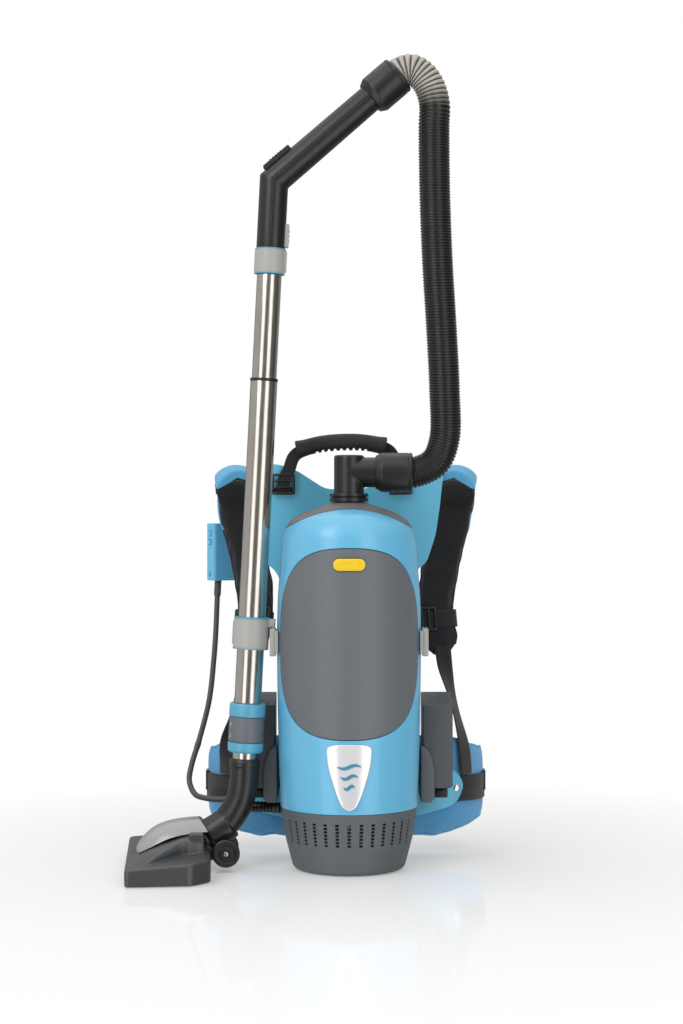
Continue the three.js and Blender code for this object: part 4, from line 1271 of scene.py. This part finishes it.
def build_pedal():
    """The light grey hood that is also the foot pedal: a tall arch whose sides sweep backwards."""
    # top of the arch (distance back, height), its side edge (same), and half width
    rows = [(12, 28, 15, 25, 22), (13.5, 32.5, 16, 26, 25), (18, 39.5, 21, 28.5, 29),
            (25, 47.5, 29, 32.5, 31), (34, 55, 38, 37.3, 32.5), (45, 60, 49, 43, 33.5),
            (57, 63.3, 62, 47.6, 34), (70, 65.6, 77, 50.3, 34), (83, 66.6, 93, 52, 33.5),
            (92, 67, 104, 53, 33)]
    rings = []
    for x, top, x_side, side, half in rows:
        arch = []
        for k in range(21):
            c = cos(pi * k / 20)
            fall = abs(c) ** 2.8
            arch.append((x + (x_side - x) * abs(c) ** 2, half * math.copysign(abs(c) ** 0.85, c),
                         top + (side - top) * fall))
        under = [(a, y * 0.92, z - 3.2 * (1 - 0.6 * abs(y) / half)) for a, y, z in arch[::-1]]
        rings.append(arch + under)
    pedal = skin("pedal_hood", rings)
    rounded_edges(pedal, 0.9, 2, 50)
    piece(placed(subdivided(pedal, 1), TOOL), "foot_pedal", "light_grey", ["foot_pedal"], "pedal_grey",
          50)


# ---------------------------------------------------------------- harness

HARNESS_X = middle_of("back_plate")[0]
PLATE_Y = box_of("back_plate")[0].y
BELT_Z = middle_of("hip_band")[2]
SIDES = (("left", -1), ("right", 1))


def mirrored(points, side):
    return [Vector((HARNESS_X + side * x, y, z)) for x, y, z in points]


def build_back_plate():
    half = [(62, 30), (64, 250), (78, 350), (96, 384), (109, 394), (121, 430), (127, 470), (130, 500),
            (133, 516), (120, 526), (92, 527), (66, 518), (27, 493)]
    corners = half + [(-x, z) for x, z in half[::-1]]
    outline = rounded_corners(corners, 9, 5, True)
    plate = prism("harness_plate", outline, 0, 6, 1.6, 3)
    flat = STANDING.copy()
    flat.translation = Vector((HARNESS_X, PLATE_Y, 0))
    placed(plate, flat)
    piece(facing_out(plate), "backpack", "plate_teal", ["back_plate"])
    rails = []
    for side in (-1, 1):
        rails.append(block("rail", (HARNESS_X + side * 44 - 5, PLATE_Y - 4, 120),
                           (HARNESS_X + side * 44 + 5, PLATE_Y + 0.5, 400), 1.5))
    for z in (150, 260, 370):
        rails.append(block("strut", (-26, 86, z - 9), (26, PLATE_Y + 0.5, z + 9), 2))
    piece(joined("plate_rails", rails), "backpack", "plate_teal")
    pad_outline = rounded_corners([(50, 150), (52, 250), (66, 345), (92, 395), (106, 440), (90, 490),
                                   (-90, 490), (-106, 440), (-92, 395), (-66, 345), (-52, 250),
                                   (-50, 150)], 14, 4, True)
    pad = prism("back_pad", pad_outline, 6, 15, 2.5)
    placed(pad, flat)
    piece(puffed(facing_out(pad), 4.0, 6.0), "backpack", "black_fabric")


CLOTH_FRAMES = 20


def puffed(obj, cap, voxel=5.0, pressure=4.0, pinned=None):
    """Blows the closed pad up as cloth, no point moving further than cap millimetres."""
    modified(obj, "REMESH", mode="VOXEL", voxel_size=voxel * MM)
    modified(obj, "SMOOTH", factor=0.5, iterations=1)
    rest = np.array([v.co[:] for v in obj.data.vertices])
    modifier = obj.modifiers.new("cloth", "CLOTH")
    settings = modifier.settings
    settings.use_pressure = True
    settings.uniform_pressure_force = pressure
    settings.effector_weights.gravity = 0
    settings.quality = 5
    settings.mass = 0.3
    if pinned:
        group = obj.vertex_groups.new(name="pinned")
        group.add([v.index for v in obj.data.vertices if pinned(v.co / MM)], 1.0, "REPLACE")
        settings.vertex_group_mass = "pinned"
    modifier.point_cache.frame_end = CLOTH_FRAMES
    for number in range(1, CLOTH_FRAMES + 1):
        scene.frame_set(number)
    graph = bpy.context.evaluated_depsgraph_get()
    blown = obj.evaluated_get(graph).data
    moved = np.array([v.co[:] for v in blown.vertices]) - rest
    length = np.linalg.norm(moved, axis=1, keepdims=True)
    limit = cap * MM
    moved *= np.minimum(1.0, limit / np.maximum(length, 1e-9))
    obj.modifiers.clear()
    obj.data.vertices.foreach_set("co", (rest + moved).astype(np.float32).ravel())
    obj.data.update()
    scene.frame_set(1)
    return subdivided(obj)


def surface_line(tree, path, directions, lift=0.15, reach=40):
    """The path dropped onto a surface along the given directions, then calmed a little."""
    made = []
    for here, way in zip(path, directions):
        hit = tree.ray_cast((here + way * reach) * MM, -way, 2 * reach * MM)[0]
        if hit is not None:
            made.append(hit / MM + way * lift)
    for _ in range(2):
        made = made[:1] + [(a + b * 2 + c) / 4 for a, b, c in zip(made, made[1:], made[2:])] + made[-1:]
    return made


def stitches(path, length=3.4, gap=2.2, radius=0.42):
    """Separate thread stitches along a line of points."""
    line = evenly(path, (length + gap) / 4)
    made = []
    for i in range(0, len(line) - 4, 4):
        run = line[i:i + 4]
        made.append(swept("stitch", run, carried_frames(run, Y + Z * 0.3),
                          lambda s, t: circle(radius * (0.55 + 0.45 * sin(pi * t)), 6)))
    return made


SEAM_INSET = 6              # from a pad's edge to its row of stitches


def seam_stitches(tree, path, frames, width_at, ends):
    """Rows of stitches along both edges of a pad, on both faces, leaving out its ends."""
    inside = slice(ends, -ends)
    made = []
    for edge in (-1, 1):
        line = [p + s * (edge * (width_at(i / len(path)) / 2 - SEAM_INSET)) for i, (p, (s, u)) in
                enumerate(zip(path, frames))][inside]
        for face in (-1, 1):
            ways = [u * face for s, u in frames][inside]
            made += stitches(surface_line(tree, line, ways, 0.1))
    return made


PAD_PATH = [(146, 104, 507), (149, 120, 513), (151, 143, 515), (153, 168, 508), (153, 186, 486),
            (149, 191, 450), (135.5, 189, 397), (126.5, 183, 344), (129, 176, 292), (131, 168, 262)]


def pad_width(share):
    return 59 - 8 * share + 6 * math.exp(-((share - 0.66) / 0.16) ** 2)


def droop(across, half, share, side):
    """How far the strap's edges hang below its middle over the shoulder, most at the outer edge."""
    reach = min(1.0, abs(across) / half) ** 2
    return (19 if across * side > 0 else 15) * reach * max(0.0, 1 - share / 0.36)


def build_straps():
    for name, side in SIDES:
        path = curve_through(mirrored(PAD_PATH, side), 4)
        frames = held_frames(path, lambda t: X)
        outward = -1 if frames[5][1].z < 0 else 1

        def section(length, share):
            to_tip = min(1.0, (1 - share) / 0.085)
            near_end = math.sqrt(max(0.12, 1 - (1 - to_tip) ** 2))
            half = pad_width(share) / 2 * near_end
            return [(a, b - outward * droop(a, half, share, side))
                    for a, b in superellipse(half, 4.6, 3.4, 28)]

        pad = swept(f"strap_pad_{name}", path, frames, section)
        puffed(pad, 4.5)
        tree = BVHTree.FromObject(pad, bpy.context.evaluated_depsgraph_get())
        piece(pad, "backpack", "black_fabric", [f"shoulder_strap_{name}"], angle=180)
        threads = seam_stitches(tree, path, frames, pad_width, 3)
        piece(joined(f"strap_stitches_{name}", threads), "backpack", "black_fabric", finish="thread")
        build_strap_cover(name, side, path, frames, outward)
        build_strap_binding(name, tree, path, frames)
        build_keeper(name, side, path, frames)
        build_webbing(name, side)


def build_strap_cover(name, side, path, frames, outward):
    """The blue outer cover: wide where it leaves the plate, a thin rim once over the shoulder."""
    reach = int(len(path) * 0.56)

    def section(length, share):
        fade = 1 - max(0.0, share - 0.30) / 0.70
        half = (pad_width(share * 0.6) / 2 + 0.5) * (0.72 + 0.28 * fade ** 0.7)
        wrap = 2.0 + 2.5 * fade
        points = []
        for k in range(21):
            u = -1 + k / 10
            across = half * math.copysign(abs(u) ** 0.8, u)
            hang = wrap * abs(u) ** 6 + droop(across, half, share * 0.56, side)
            points.append((across, outward * (9.5 + 2.0 * fade - hang)))
        inner = [(a * 0.93, b - outward * (2.5 + 1.5 * fade)) for a, b in points[::-1]]
        return points + inner

    cover = swept(f"strap_cover_{name}", path[:reach], frames[:reach], section)
    piece(subdivided(facing_out(cover)), "backpack", "belt_fabric", finish="strap_cover", angle=60)


def build_strap_binding(name, tree, path, frames):
    """A cord sewn along each edge of the pad: blue beside the cover, black further down."""
    blue, black = [], []
    for edge in (-1, 1):
        line = surface_line(tree, path[4:-4], [s * edge for s, u in frames[4:-4]], 0.7)
        line = evenly(line, 3)
        turn = int(len(line) * 0.46)
        for part, cords, radius in ((line[:turn], blue, 2.0), (line[turn - 1:], black, 1.6)):
            cords.append(swept("cord", part, carried_frames(part, Y), lambda s, t: circle(radius, 10)))
    piece(joined(f"strap_piping_{name}", blue), "backpack", "belt_fabric", finish="strap_cover")
    piece(joined(f"strap_binding_{name}", black), "backpack", "black_fabric", finish="webbing")


def build_keeper(name, side, path, frames):
    """The band round the strap that holds its loose end, with a slider buckle on it."""
    middle = Vector(middle_of(f"strap_keeper_{name}"))
    i = min(range(len(path)), key=lambda k: (path[k] - middle).length)
    (wide, up), along = frames[i], tangents(path)[i]
    here = path[i]
    loop = [here + wide * a + up * b for a, b in superellipse(26.5, 9.6, 3.2, 64)]
    loop.append(loop[0])
    band = swept(f"keeper_band_{name}", loop, held_frames(loop, lambda t: along),
                 lambda s, t: flat_section(24, 1.6), (False, False))
    facing_out(band)
    piece(band, "backpack", "black_fabric", [f"strap_keeper_{name}"], "webbing", 50)
    toward = up if up.y < 0 else -up
    at = Matrix((wide, along, wide.cross(along))).transposed().to_4x4()
    at.translation = here + toward * 11.2 - X * (side * 12)
    bars = [rod_between("bar", Vector(p), Vector(q), 1.7) for p, q in (
        ((-9, -15, 0), (9, -15, 0)), ((9, -15, 0), (9, 15, 0)), ((9, 15, 0), (-9, 15, 0)),
        ((-9, 15, 0), (-9, -15, 0)), ((0, -15, 0), (0, 15, 0)))]
    piece(placed(joined(f"keeper_buckle_{name}", bars), at), "backpack", "black_plastic")


def rod_between(name, start, end, radius, sides=14):
    way = (end - start).normalized()
    path = [start - way * radius * 0.6, *(start + (end - start) * k / 4 for k in range(5)),
            end + way * radius * 0.6]
    ends = (0, len(path) - 1)
    frames = carried_frames(path, Y if abs(way.y) < 0.9 else X)
    rings = [[path[i] + s * a + u * b for a, b in circle(radius * (0.55 if i in ends else 1), sides)]
             for i, (s, u) in enumerate(frames)]
    return skin(name, rings)


def build_webbing(name, side):
    points = [(134, 169, 280), (137, 160, 250), (142, 149, 225), (151, 131, 188), (161, 118, 142),
              (164, 117, 106)]
    path = curve_through(mirrored(points, side), 3)
    beside = Vector((0.7, 0.7 * side, 0))
    edge_on = Vector((0.25, 1, 0))

    def lie(t):
        turned_away = sin(pi * min(1.0, t)) ** 2
        return X.lerp(beside, t ** 1.5).lerp(edge_on, 0.8 * turned_away)

    band = swept(f"webbing_{name}", path, held_frames(path, lie), lambda s, t: flat_section(22, 1.9))
    piece(band, "backpack", "black_fabric", [f"strap_webbing_{name}"], "webbing", 50)


BELT_HALF = [(0, 111), (60, 111), (110, 114), (152, 124), (178, 145), (186, 172), (173, 205)]
BAND_HALF = [(0, 103.6), (64, 103.6), (112, 106), (157, 115), (184, 139), (191, 172), (177, 212)]


def both_sides(half, z):
    points = [(-x, y) for x, y in half[:0:-1]] + list(half)
    return [Vector((HARNESS_X + x, y, z)) for x, y in points]


def build_belt():
    path = curve_through(both_sides(BELT_HALF, BELT_Z), 5)
    frames = held_frames(path, lambda t: Z)

    def height(share):
        to_end = min(max(min(share, 1 - share), 0.0), 0.5)
        swell = min(1.0, max(0.0, (to_end - 0.07) / 0.2))
        return 93 + 42 * swell * swell * (3 - 2 * swell) + 15 * sin(pi * to_end)

    def section(length, share):
        near_end = min(1.0, math.sqrt(max(0.05, min(share, 1 - share) * 26)))
        return superellipse(height(share) / 2 * near_end, 4.6, 3.4, 40)

    belt = puffed(swept("hip_pad", path, frames, section), 4.0, 5.5)
    tree = BVHTree.FromObject(belt, bpy.context.evaluated_depsgraph_get())
    piece(belt, "backpack", "belt_fabric", ["hip_belt"], angle=180)
    threads = seam_stitches(tree, path, frames, height, 5)
    piece(joined("belt_stitches", threads), "backpack", "belt_fabric", finish="blue_thread")
    cords = []
    for edge in (-1, 1):
        line = evenly(surface_line(tree, path[3:-3], [s * edge for s, u in frames[3:-3]], 0.8, 90), 4)
        cords.append(swept("cord", line, carried_frames(line, Z), lambda s, t: circle(1.6, 10)))
    piece(joined("belt_piping", cords), "backpack", "belt_fabric", finish="strap_cover")

    path = curve_through(both_sides(BAND_HALF, BELT_Z - 5), 4)
    band = swept("belt_strap", path, held_frames(path, lambda t: Z), lambda s, t: flat_section(35, 1.8))
    piece(band, "backpack", "black_fabric", ["hip_band"], "webbing", 50)
    for name, side in SIDES:
        build_belt_wing(name, side)
        soften_cad(f"belt_buckle_{name}", 1.2)


def build_belt_wing(name, side):
    """The blue moulded arm that carries the belt, rounded at its end, with a screw."""
    half = [(40, 99.5), (70, 99.5), (112, 101.5), (140, 107), (158, 115)]
    path = curve_through(mirrored([(x, y, BELT_Z) for x, y in half], side), 3)

    def section(length, share):
        round_end = math.sqrt(max(0.03, 1 - max(0.0, (share - 0.82) / 0.18) ** 2))
        top = -14 + 36 * min(1.0, share * 1.15) ** 1.4
        low = -50 + 26 * share ** 1.2
        middle, tall = (top + low) / 2, (top - low) / 2
        return [(middle + a, b) for a, b in superellipse(tall * round_end, 2.0, 5, 32)]

    wing = swept(f"belt_wing_{name}", path, held_frames(path, lambda t: Z), section)
    piece(wing, "backpack", "plate_teal")
    at = path[int((len(path) - 1) * 0.93)]
    out = Vector((side * 0.35, -1, 0)).normalized()
    head = turned("head", rounded_corners([(0, 0), (5, 0), (5, 1.4), (3.6, 2.6), (0, 2.9)], 0.6), 40)
    slot_a = block("slot", (-2.6, -0.55, 2.2), (2.6, 0.55, 4), 0)
    slot_b = block("slot", (-0.55, -2.6, 2.2), (0.55, 2.6, 4), 0)
    carved(head, slot_a, slot_b)
    placed(head, frame_at(Vector((at.x, at.y, at.z - 4)) + out * 1.6, out, X))
    piece(head, "backpack", "metal_dark").name = f"wing_screw_{name}"


def build_carry_handle():
    middle_y = middle_of("carry_grip")[1]
    arch = [(-70, middle_y, 545), (-40, middle_y, 552.5), (-10, middle_y, 555.5),
            (20, middle_y, 555), (50, middle_y, 550)]
    path = curve_through(arch, 1.2)
    notch_pitch, notches = 8.6, 9
    total = sum((q - p).length for p, q in zip(path, path[1:]))

    def section(length, share):
        end = min(length, total - length)
        flare = 1.6 * math.exp(-(end / 9) ** 2)
        edge = min(1.0, 0.8 + end / 6)
        r = (10.6 + flare + 0.7 * sin(pi * share)) * edge
        inside = abs(length - total / 2) < notch_pitch * notches / 2
        bite = max(0.0, cos(2 * pi * (length - total / 2) / notch_pitch)) ** 0.7 if inside else 0
        points = []
        for a, b in superellipse(r, r, 2.6, 48):
            under = max(0.0, -b / r)
            points.append((a, b + 3.6 * bite * under ** 1.2 if b < 0 else b))
        return points

    grip = swept("lift_grip", path, held_frames(path, lambda t: Y), section)
    piece(grip, "carry_handle", "rubber_black", ["carry_grip"], angle=50)
    line = [(-89, 92, 490), (-87, 91, 505), (-80, 87, 520), (-72, 82, 538), *arch[1:-1],
            (55, 82, 543), (63, 87, 524), (69, 91, 507), (71, 92, 490)]
    path = curve_through(line, 2.5)
    frames = [(Y.cross(way).normalized(), way.cross(Y.cross(way)).normalized()) for way in tangents(path)]
    strap = swept("lift_webbing", path, frames, lambda s, t: flat_section(17, 2.0))
    piece(strap, ("backpack", "carry_handle"), "black_fabric", ["grip_webbing"], "webbing", 50,
          between=(Vector((HARNESS_X, 88, 494)), Vector((HARNESS_X, 88, 532))))
    for name, x in (("left", -88), ("right", 70)):
        build_ladder_lock(name, x)


def build_ladder_lock(name, x, half=14, low=487, high=512, y=89.5):
    """A moulded frame with two cross bars, standing in front of the webbing it holds."""
    corners = [Vector((x + a, y, z)) for a, z in ((-half, low), (half, low), (half, high), (-half, high))]
    bars = [rod_between("bar", p, q, 1.9) for p, q in zip(corners, corners[1:] + corners[:1])]
    bars += [rod_between("bar", Vector((x - half, y, z)), Vector((x + half, y, z)), 1.6)
             for z in (low + 8, low + 17)]
    bars.append(block("back", (x - half, y + 3.4, low + 1), (x + half, y + 5.8, low + 9), 0.8))
    piece(joined(f"ladder_frame_{name}", bars), "backpack", "black_plastic", [f"ladder_lock_{name}"])


# ---------------------------------------------------------------- batteries, controls, cables

def soften_cad(name, width, angle=30, segments=3):
    """Rounds a CAD node's edges with a modifier; the node's own mesh stays as it is."""
    cad = frame["nodes"][name]
    modifier = cad.modifiers.new("edges", "BEVEL")
    modifier.width, modifier.segments = width * MM, segments
    modifier.limit_method, modifier.angle_limit = "ANGLE", radians(angle)
    return cad


def build_batteries():
    for name, side in SIDES:
        low, high = box_of(f"battery_{name}")
        x0, x1 = low.x, high.x
        inner, outer = (x0, x1) if side > 0 else (x1, x0)
        corners = rounded_corners([(inner, low.z), (outer - side * 3, low.z), (outer, low.z + 3),
                                   (outer, high.z + 6), (inner, high.z + 6)], 2.5, 4, True)
        body = prism(f"pack_{name}", corners, low.y, high.y, 2.2, 4)
        placed(facing_out(body), STANDING)
        facing_out(body)
        wedge = block("wedge", (x0 - 20, -60, 0), (x1 + 20, 60, 60), 0)
        tilt = Matrix.Translation((0, (low.y + high.y) / 2, high.z - 4.5)) @ Matrix.Rotation(
            radians(8), 4, "X")
        carved(body, placed(wedge, tilt))
        hole = turned("hole", [(0, -4), (1.6, -4), (1.6, 12), (0, 12)], 24)
        carved(body, placed(hole, Matrix.Translation((outer - side * 29, low.y + 8, high.z - 7))))
        rounded_edges(body, 0.9, 3, 40)
        piece(body, f"battery_{name}", "battery_grey", [f"battery_{name}"])
        build_dock(name, side)


def build_dock(name, side):
    """The holder under a battery: its front cheek falls away in an arc; a block carries the weight."""
    arc = [(94.2 + 17.8 * sin(a), 112 + 44 * cos(a)) for a in np.linspace(0, pi / 2, 12)]
    cheek = [(94.2, 82), (107, 82), (112, 87)] + arc[::-1]
    dock = prism(f"dock_{name}", [(side * x, z) for x, z in cheek], 12.6, 95.4, 1.2)
    placed(facing_out(dock), STANDING)
    carved(facing_out(dock), side_block("cavity", side, 96.4, 140, (17.2, 99.4), (110, 180), 2))
    rounded_edges(dock, 0.7, 2, 40)
    piece(dock, "backpack", "base_grey", [f"battery_dock_{name}"])
    foot = side_block("foot", side, 106, 130, (30, 86), (80, 99.2), 2)
    pad = side_block("pad", side, 114, 126, (27, 90), (31, 97), 1)
    piece(joined(f"dock_foot_{name}", [foot, pad]), "backpack", "black_plastic")


def build_controls():
    for node, edge in (("control_box", 1.6), ("power_button", 0.8), ("speed_button", 0.8)):
        soften_cad(node, edge)
    inward = axis_of("power_button_press")
    power = Vector(middle_of("power_button"))
    across = Z.cross(inward).normalized()
    rims = []
    for node in ("power_button", "speed_button"):
        middle = Vector(middle_of(node)) + inward * 0.3
        loop = [middle + across * a + Z * b for a, b in superellipse(4.6, 4.6, 6, 40)]
        loop.append(loop[0])
        rims.append(swept("rim", loop, carried_frames(loop, inward), lambda s, t: circle(0.45, 8),
                          (False, False)))
    hole = power + Z * -57 + inward * 0.6
    plug = turned("plug", rounded_corners([(0, -0.5), (3.2, -0.5), (3.2, 0.9), (1.8, 0.9), (1.6, -0.2),
                                           (0, -0.2)], 0.3), 32)
    placed(plug, frame_at(hole, -inward, Z))
    piece(joined("control_rims", rims + [plug]), "backpack", "black_plastic")


def build_cables():
    points = [(-183, 208, 366), (-184, 203, 340), (-185, 190, 297), (-187, 174, 256), (-192, 155, 203),
              (-204, 131, 151), (-213, 112, 119), (-215, 98, 99), (-206, 84, 83), (-192, 74, 79.5),
              (-170, 62, 79.5), (-152, 54, 83), (-142, 50.5, 86),
              (-133, 48, 88.5)]
    path = curve_through(points, 1.5)
    total = 1.5 * (len(path) - 1)

    def section(length, share):
        relief = 1.9 if length < 22 or total - length < 14 else 0.0
        ribs = 0.5 * (relief > 0 and sin(length * 2.2) > 0)
        tape = 0.5 * math.exp(-((length - 238) / 5) ** 2)
        return circle(3.75 + relief * 0.7 - ribs + tape, 20)
    cable = swept("power_lead", path, carried_frames(path, X), section)
    piece(cable, "backpack", "rubber_black", ["power_cable"], "lead", 60)
    path = curve_through([(-131, 44, 73), (-112, 38, 73), (-90, 31.5, 73)], 0.6)
    conduit = swept("ribbed_conduit", path, carried_frames(path, Y),
                    lambda s, t: circle(7.2 if s % 5.0 < 2.6 else 5.4, 28))
    piece(conduit, "backpack", "black_plastic", ["cable_conduit"], angle=30)


# ---------------------------------------------------------------- carried-over CAD nodes

def finish_cad_nodes():
    """Every CAD node still shown gets its finish from the same materials as the new pieces."""
    kept = {"motor_unit": FINISHES["black_plastic"], "fan_impeller": FINISHES["metal_dark"],
            "exhaust_filter": FINISHES["paper"], "belt_buckle_left": FINISHES["black_plastic"],
            "belt_buckle_right": FINISHES["black_plastic"], "control_box": FINISHES["body_blue"],
            "power_button": EXTRAS["collar_blue"], "speed_button": EXTRAS["collar_blue"]}
    for name, obj in frame["nodes"].items():
        if not obj.hide_render:
            obj.data.materials.clear()
            obj.data.materials.append(kept[name])
            smoothed(obj, 40)
    for name in ("motor_unit", "fan_impeller"):
        soften_cad(name, 0.6, 50, 2)


# ---------------------------------------------------------------- stage

def build_floor():
    """A pale, slightly glossy floor that fades into the white background."""
    bm = bmesh.new()
    bmesh.ops.create_grid(bm, x_segments=24, y_segments=24, size=6.0)
    floor = from_bmesh("floor", bm)
    g = Graph("floor_sweep")
    reach = g.node("ShaderNodeVectorMath", {0: g.place}, operation="LENGTH").outputs["Value"]
    g.set(Base_Color=srgb(250, 250, 249), Specular_IOR_Level=0.5,
          Roughness=g.ranged(g.noise(400, 2), 0.3, 0.7, 0.03, 0.07))
    white = g.node("ShaderNodeEmission", {"Color": (1, 1, 1, 1), "Strength": 1.0})
    fade = g.ranged(reach, 0.22, 0.85, 0.25, 1.0)
    blend = g.node("ShaderNodeMixShader", {0: fade, 1: g.shader.outputs[0], 2: white.outputs[0]})
    out = g.tree.nodes["Material Output"]
    g.tree.links.new(blend.outputs[0], out.inputs["Surface"])
    floor.data.materials.append(g.material)
    floor.visible_glossy = False       # the tubes mirror the soft boxes all the way down


# round the compass from behind the wearer: where each soft box or dark gap starts, its strength
SOFT_BOXES = [(0.00, 0.35), (0.12, 0.35), (0.135, 0.6), (0.33, 0.6), (0.34, 0.25), (0.365, 0.25),
              (0.372, 2.2), (0.44, 2.2), (0.448, 0.2), (0.552, 0.2), (0.56, 2.2), (0.63, 2.2),
              (0.638, 0.15), (0.815, 0.15), (0.83, 0.35), (1.0, 0.35)]
BRIGHTEST = 2.2


def build_studio():
    """White to the camera; to surfaces, a ring of soft boxes with darker gaps between them."""
    world = bpy.data.worlds.new("studio")
    scene.world = world
    world.use_nodes = True
    world.node_tree.nodes.clear()
    g = Nodes(world.node_tree)
    way = g.node("ShaderNodeTexCoord").outputs["Generated"]
    x, y, z = g.node("ShaderNodeSeparateXYZ", {0: way}).outputs
    compass = g.ranged(g.math("ARCTAN2", x, g.math("MULTIPLY", y, -1)), -pi, pi)
    boxes = g.node("ShaderNodeValToRGB", {0: compass})
    ramp = boxes.color_ramp
    while len(ramp.elements) < len(SOFT_BOXES):
        ramp.elements.new(0.5)
    for element, (position, level) in zip(ramp.elements, SOFT_BOXES):
        element.position = position
        element.color = (*[level / BRIGHTEST] * 3, 1)
    lit = g.mixed(g.ranged(z, 0.45, 0.9), boxes.outputs[0], (0.72, 0.72, 0.72, 1))
    light = g.node("ShaderNodeBackground", {"Color": lit, "Strength": BRIGHTEST})
    plain = g.node("ShaderNodeBackground", {"Color": (1, 1, 1, 1)})
    to_camera = g.node("ShaderNodeLightPath").outputs["Is Camera Ray"]
    chosen = g.node("ShaderNodeMixShader", {0: to_camera, 1: light.outputs[0], 2: plain.outputs[0]})
    g.node("ShaderNodeOutputWorld", {"Surface": chosen.outputs[0]})


def add_softbox(name, place, target, size, watts):
    light = bpy.data.lights.new(name, "AREA")
    light.shape, light.size, light.size_y, light.energy = "RECTANGLE", size[0], size[1], watts
    obj = linked(name, light)
    obj.location = place
    obj.rotation_euler = (Vector(target) - Vector(place)).to_track_quat("-Z", "Y").to_euler()


CAMERA_PLACE, CAMERA_LENS = (-0.00975, -2.6, 0.462), 70.3      # matched to the photo


def build_camera():
    camera = bpy.data.cameras.new("camera")
    camera.lens = CAMERA_LENS
    obj = linked("camera", camera)
    obj.location = CAMERA_PLACE
    obj.rotation_euler = (pi / 2, 0, 0)
    scene.camera = obj


def main():
    build_shell()
    build_cover()
    build_badge()
    build_base()
    build_inside()
    build_lugs()
    build_inlet()
    build_hose()
    build_handle()
    build_tubes()
    build_clip()
    build_lock()
    build_neck()
    build_knuckle()
    build_floor_tool()
    build_back_plate()
    build_straps()
    build_belt()
    build_carry_handle()
    build_batteries()
    build_controls()
    build_cables()
    finish_cad_nodes()
    build_floor()
    build_studio()
    add_softbox("key", place=(-1.6, -1.8, 2.2), target=(0, 0, 0.4), size=(1.2, 1.2), watts=14)
    build_camera()
    scene.view_settings.view_transform = "Standard"


main()
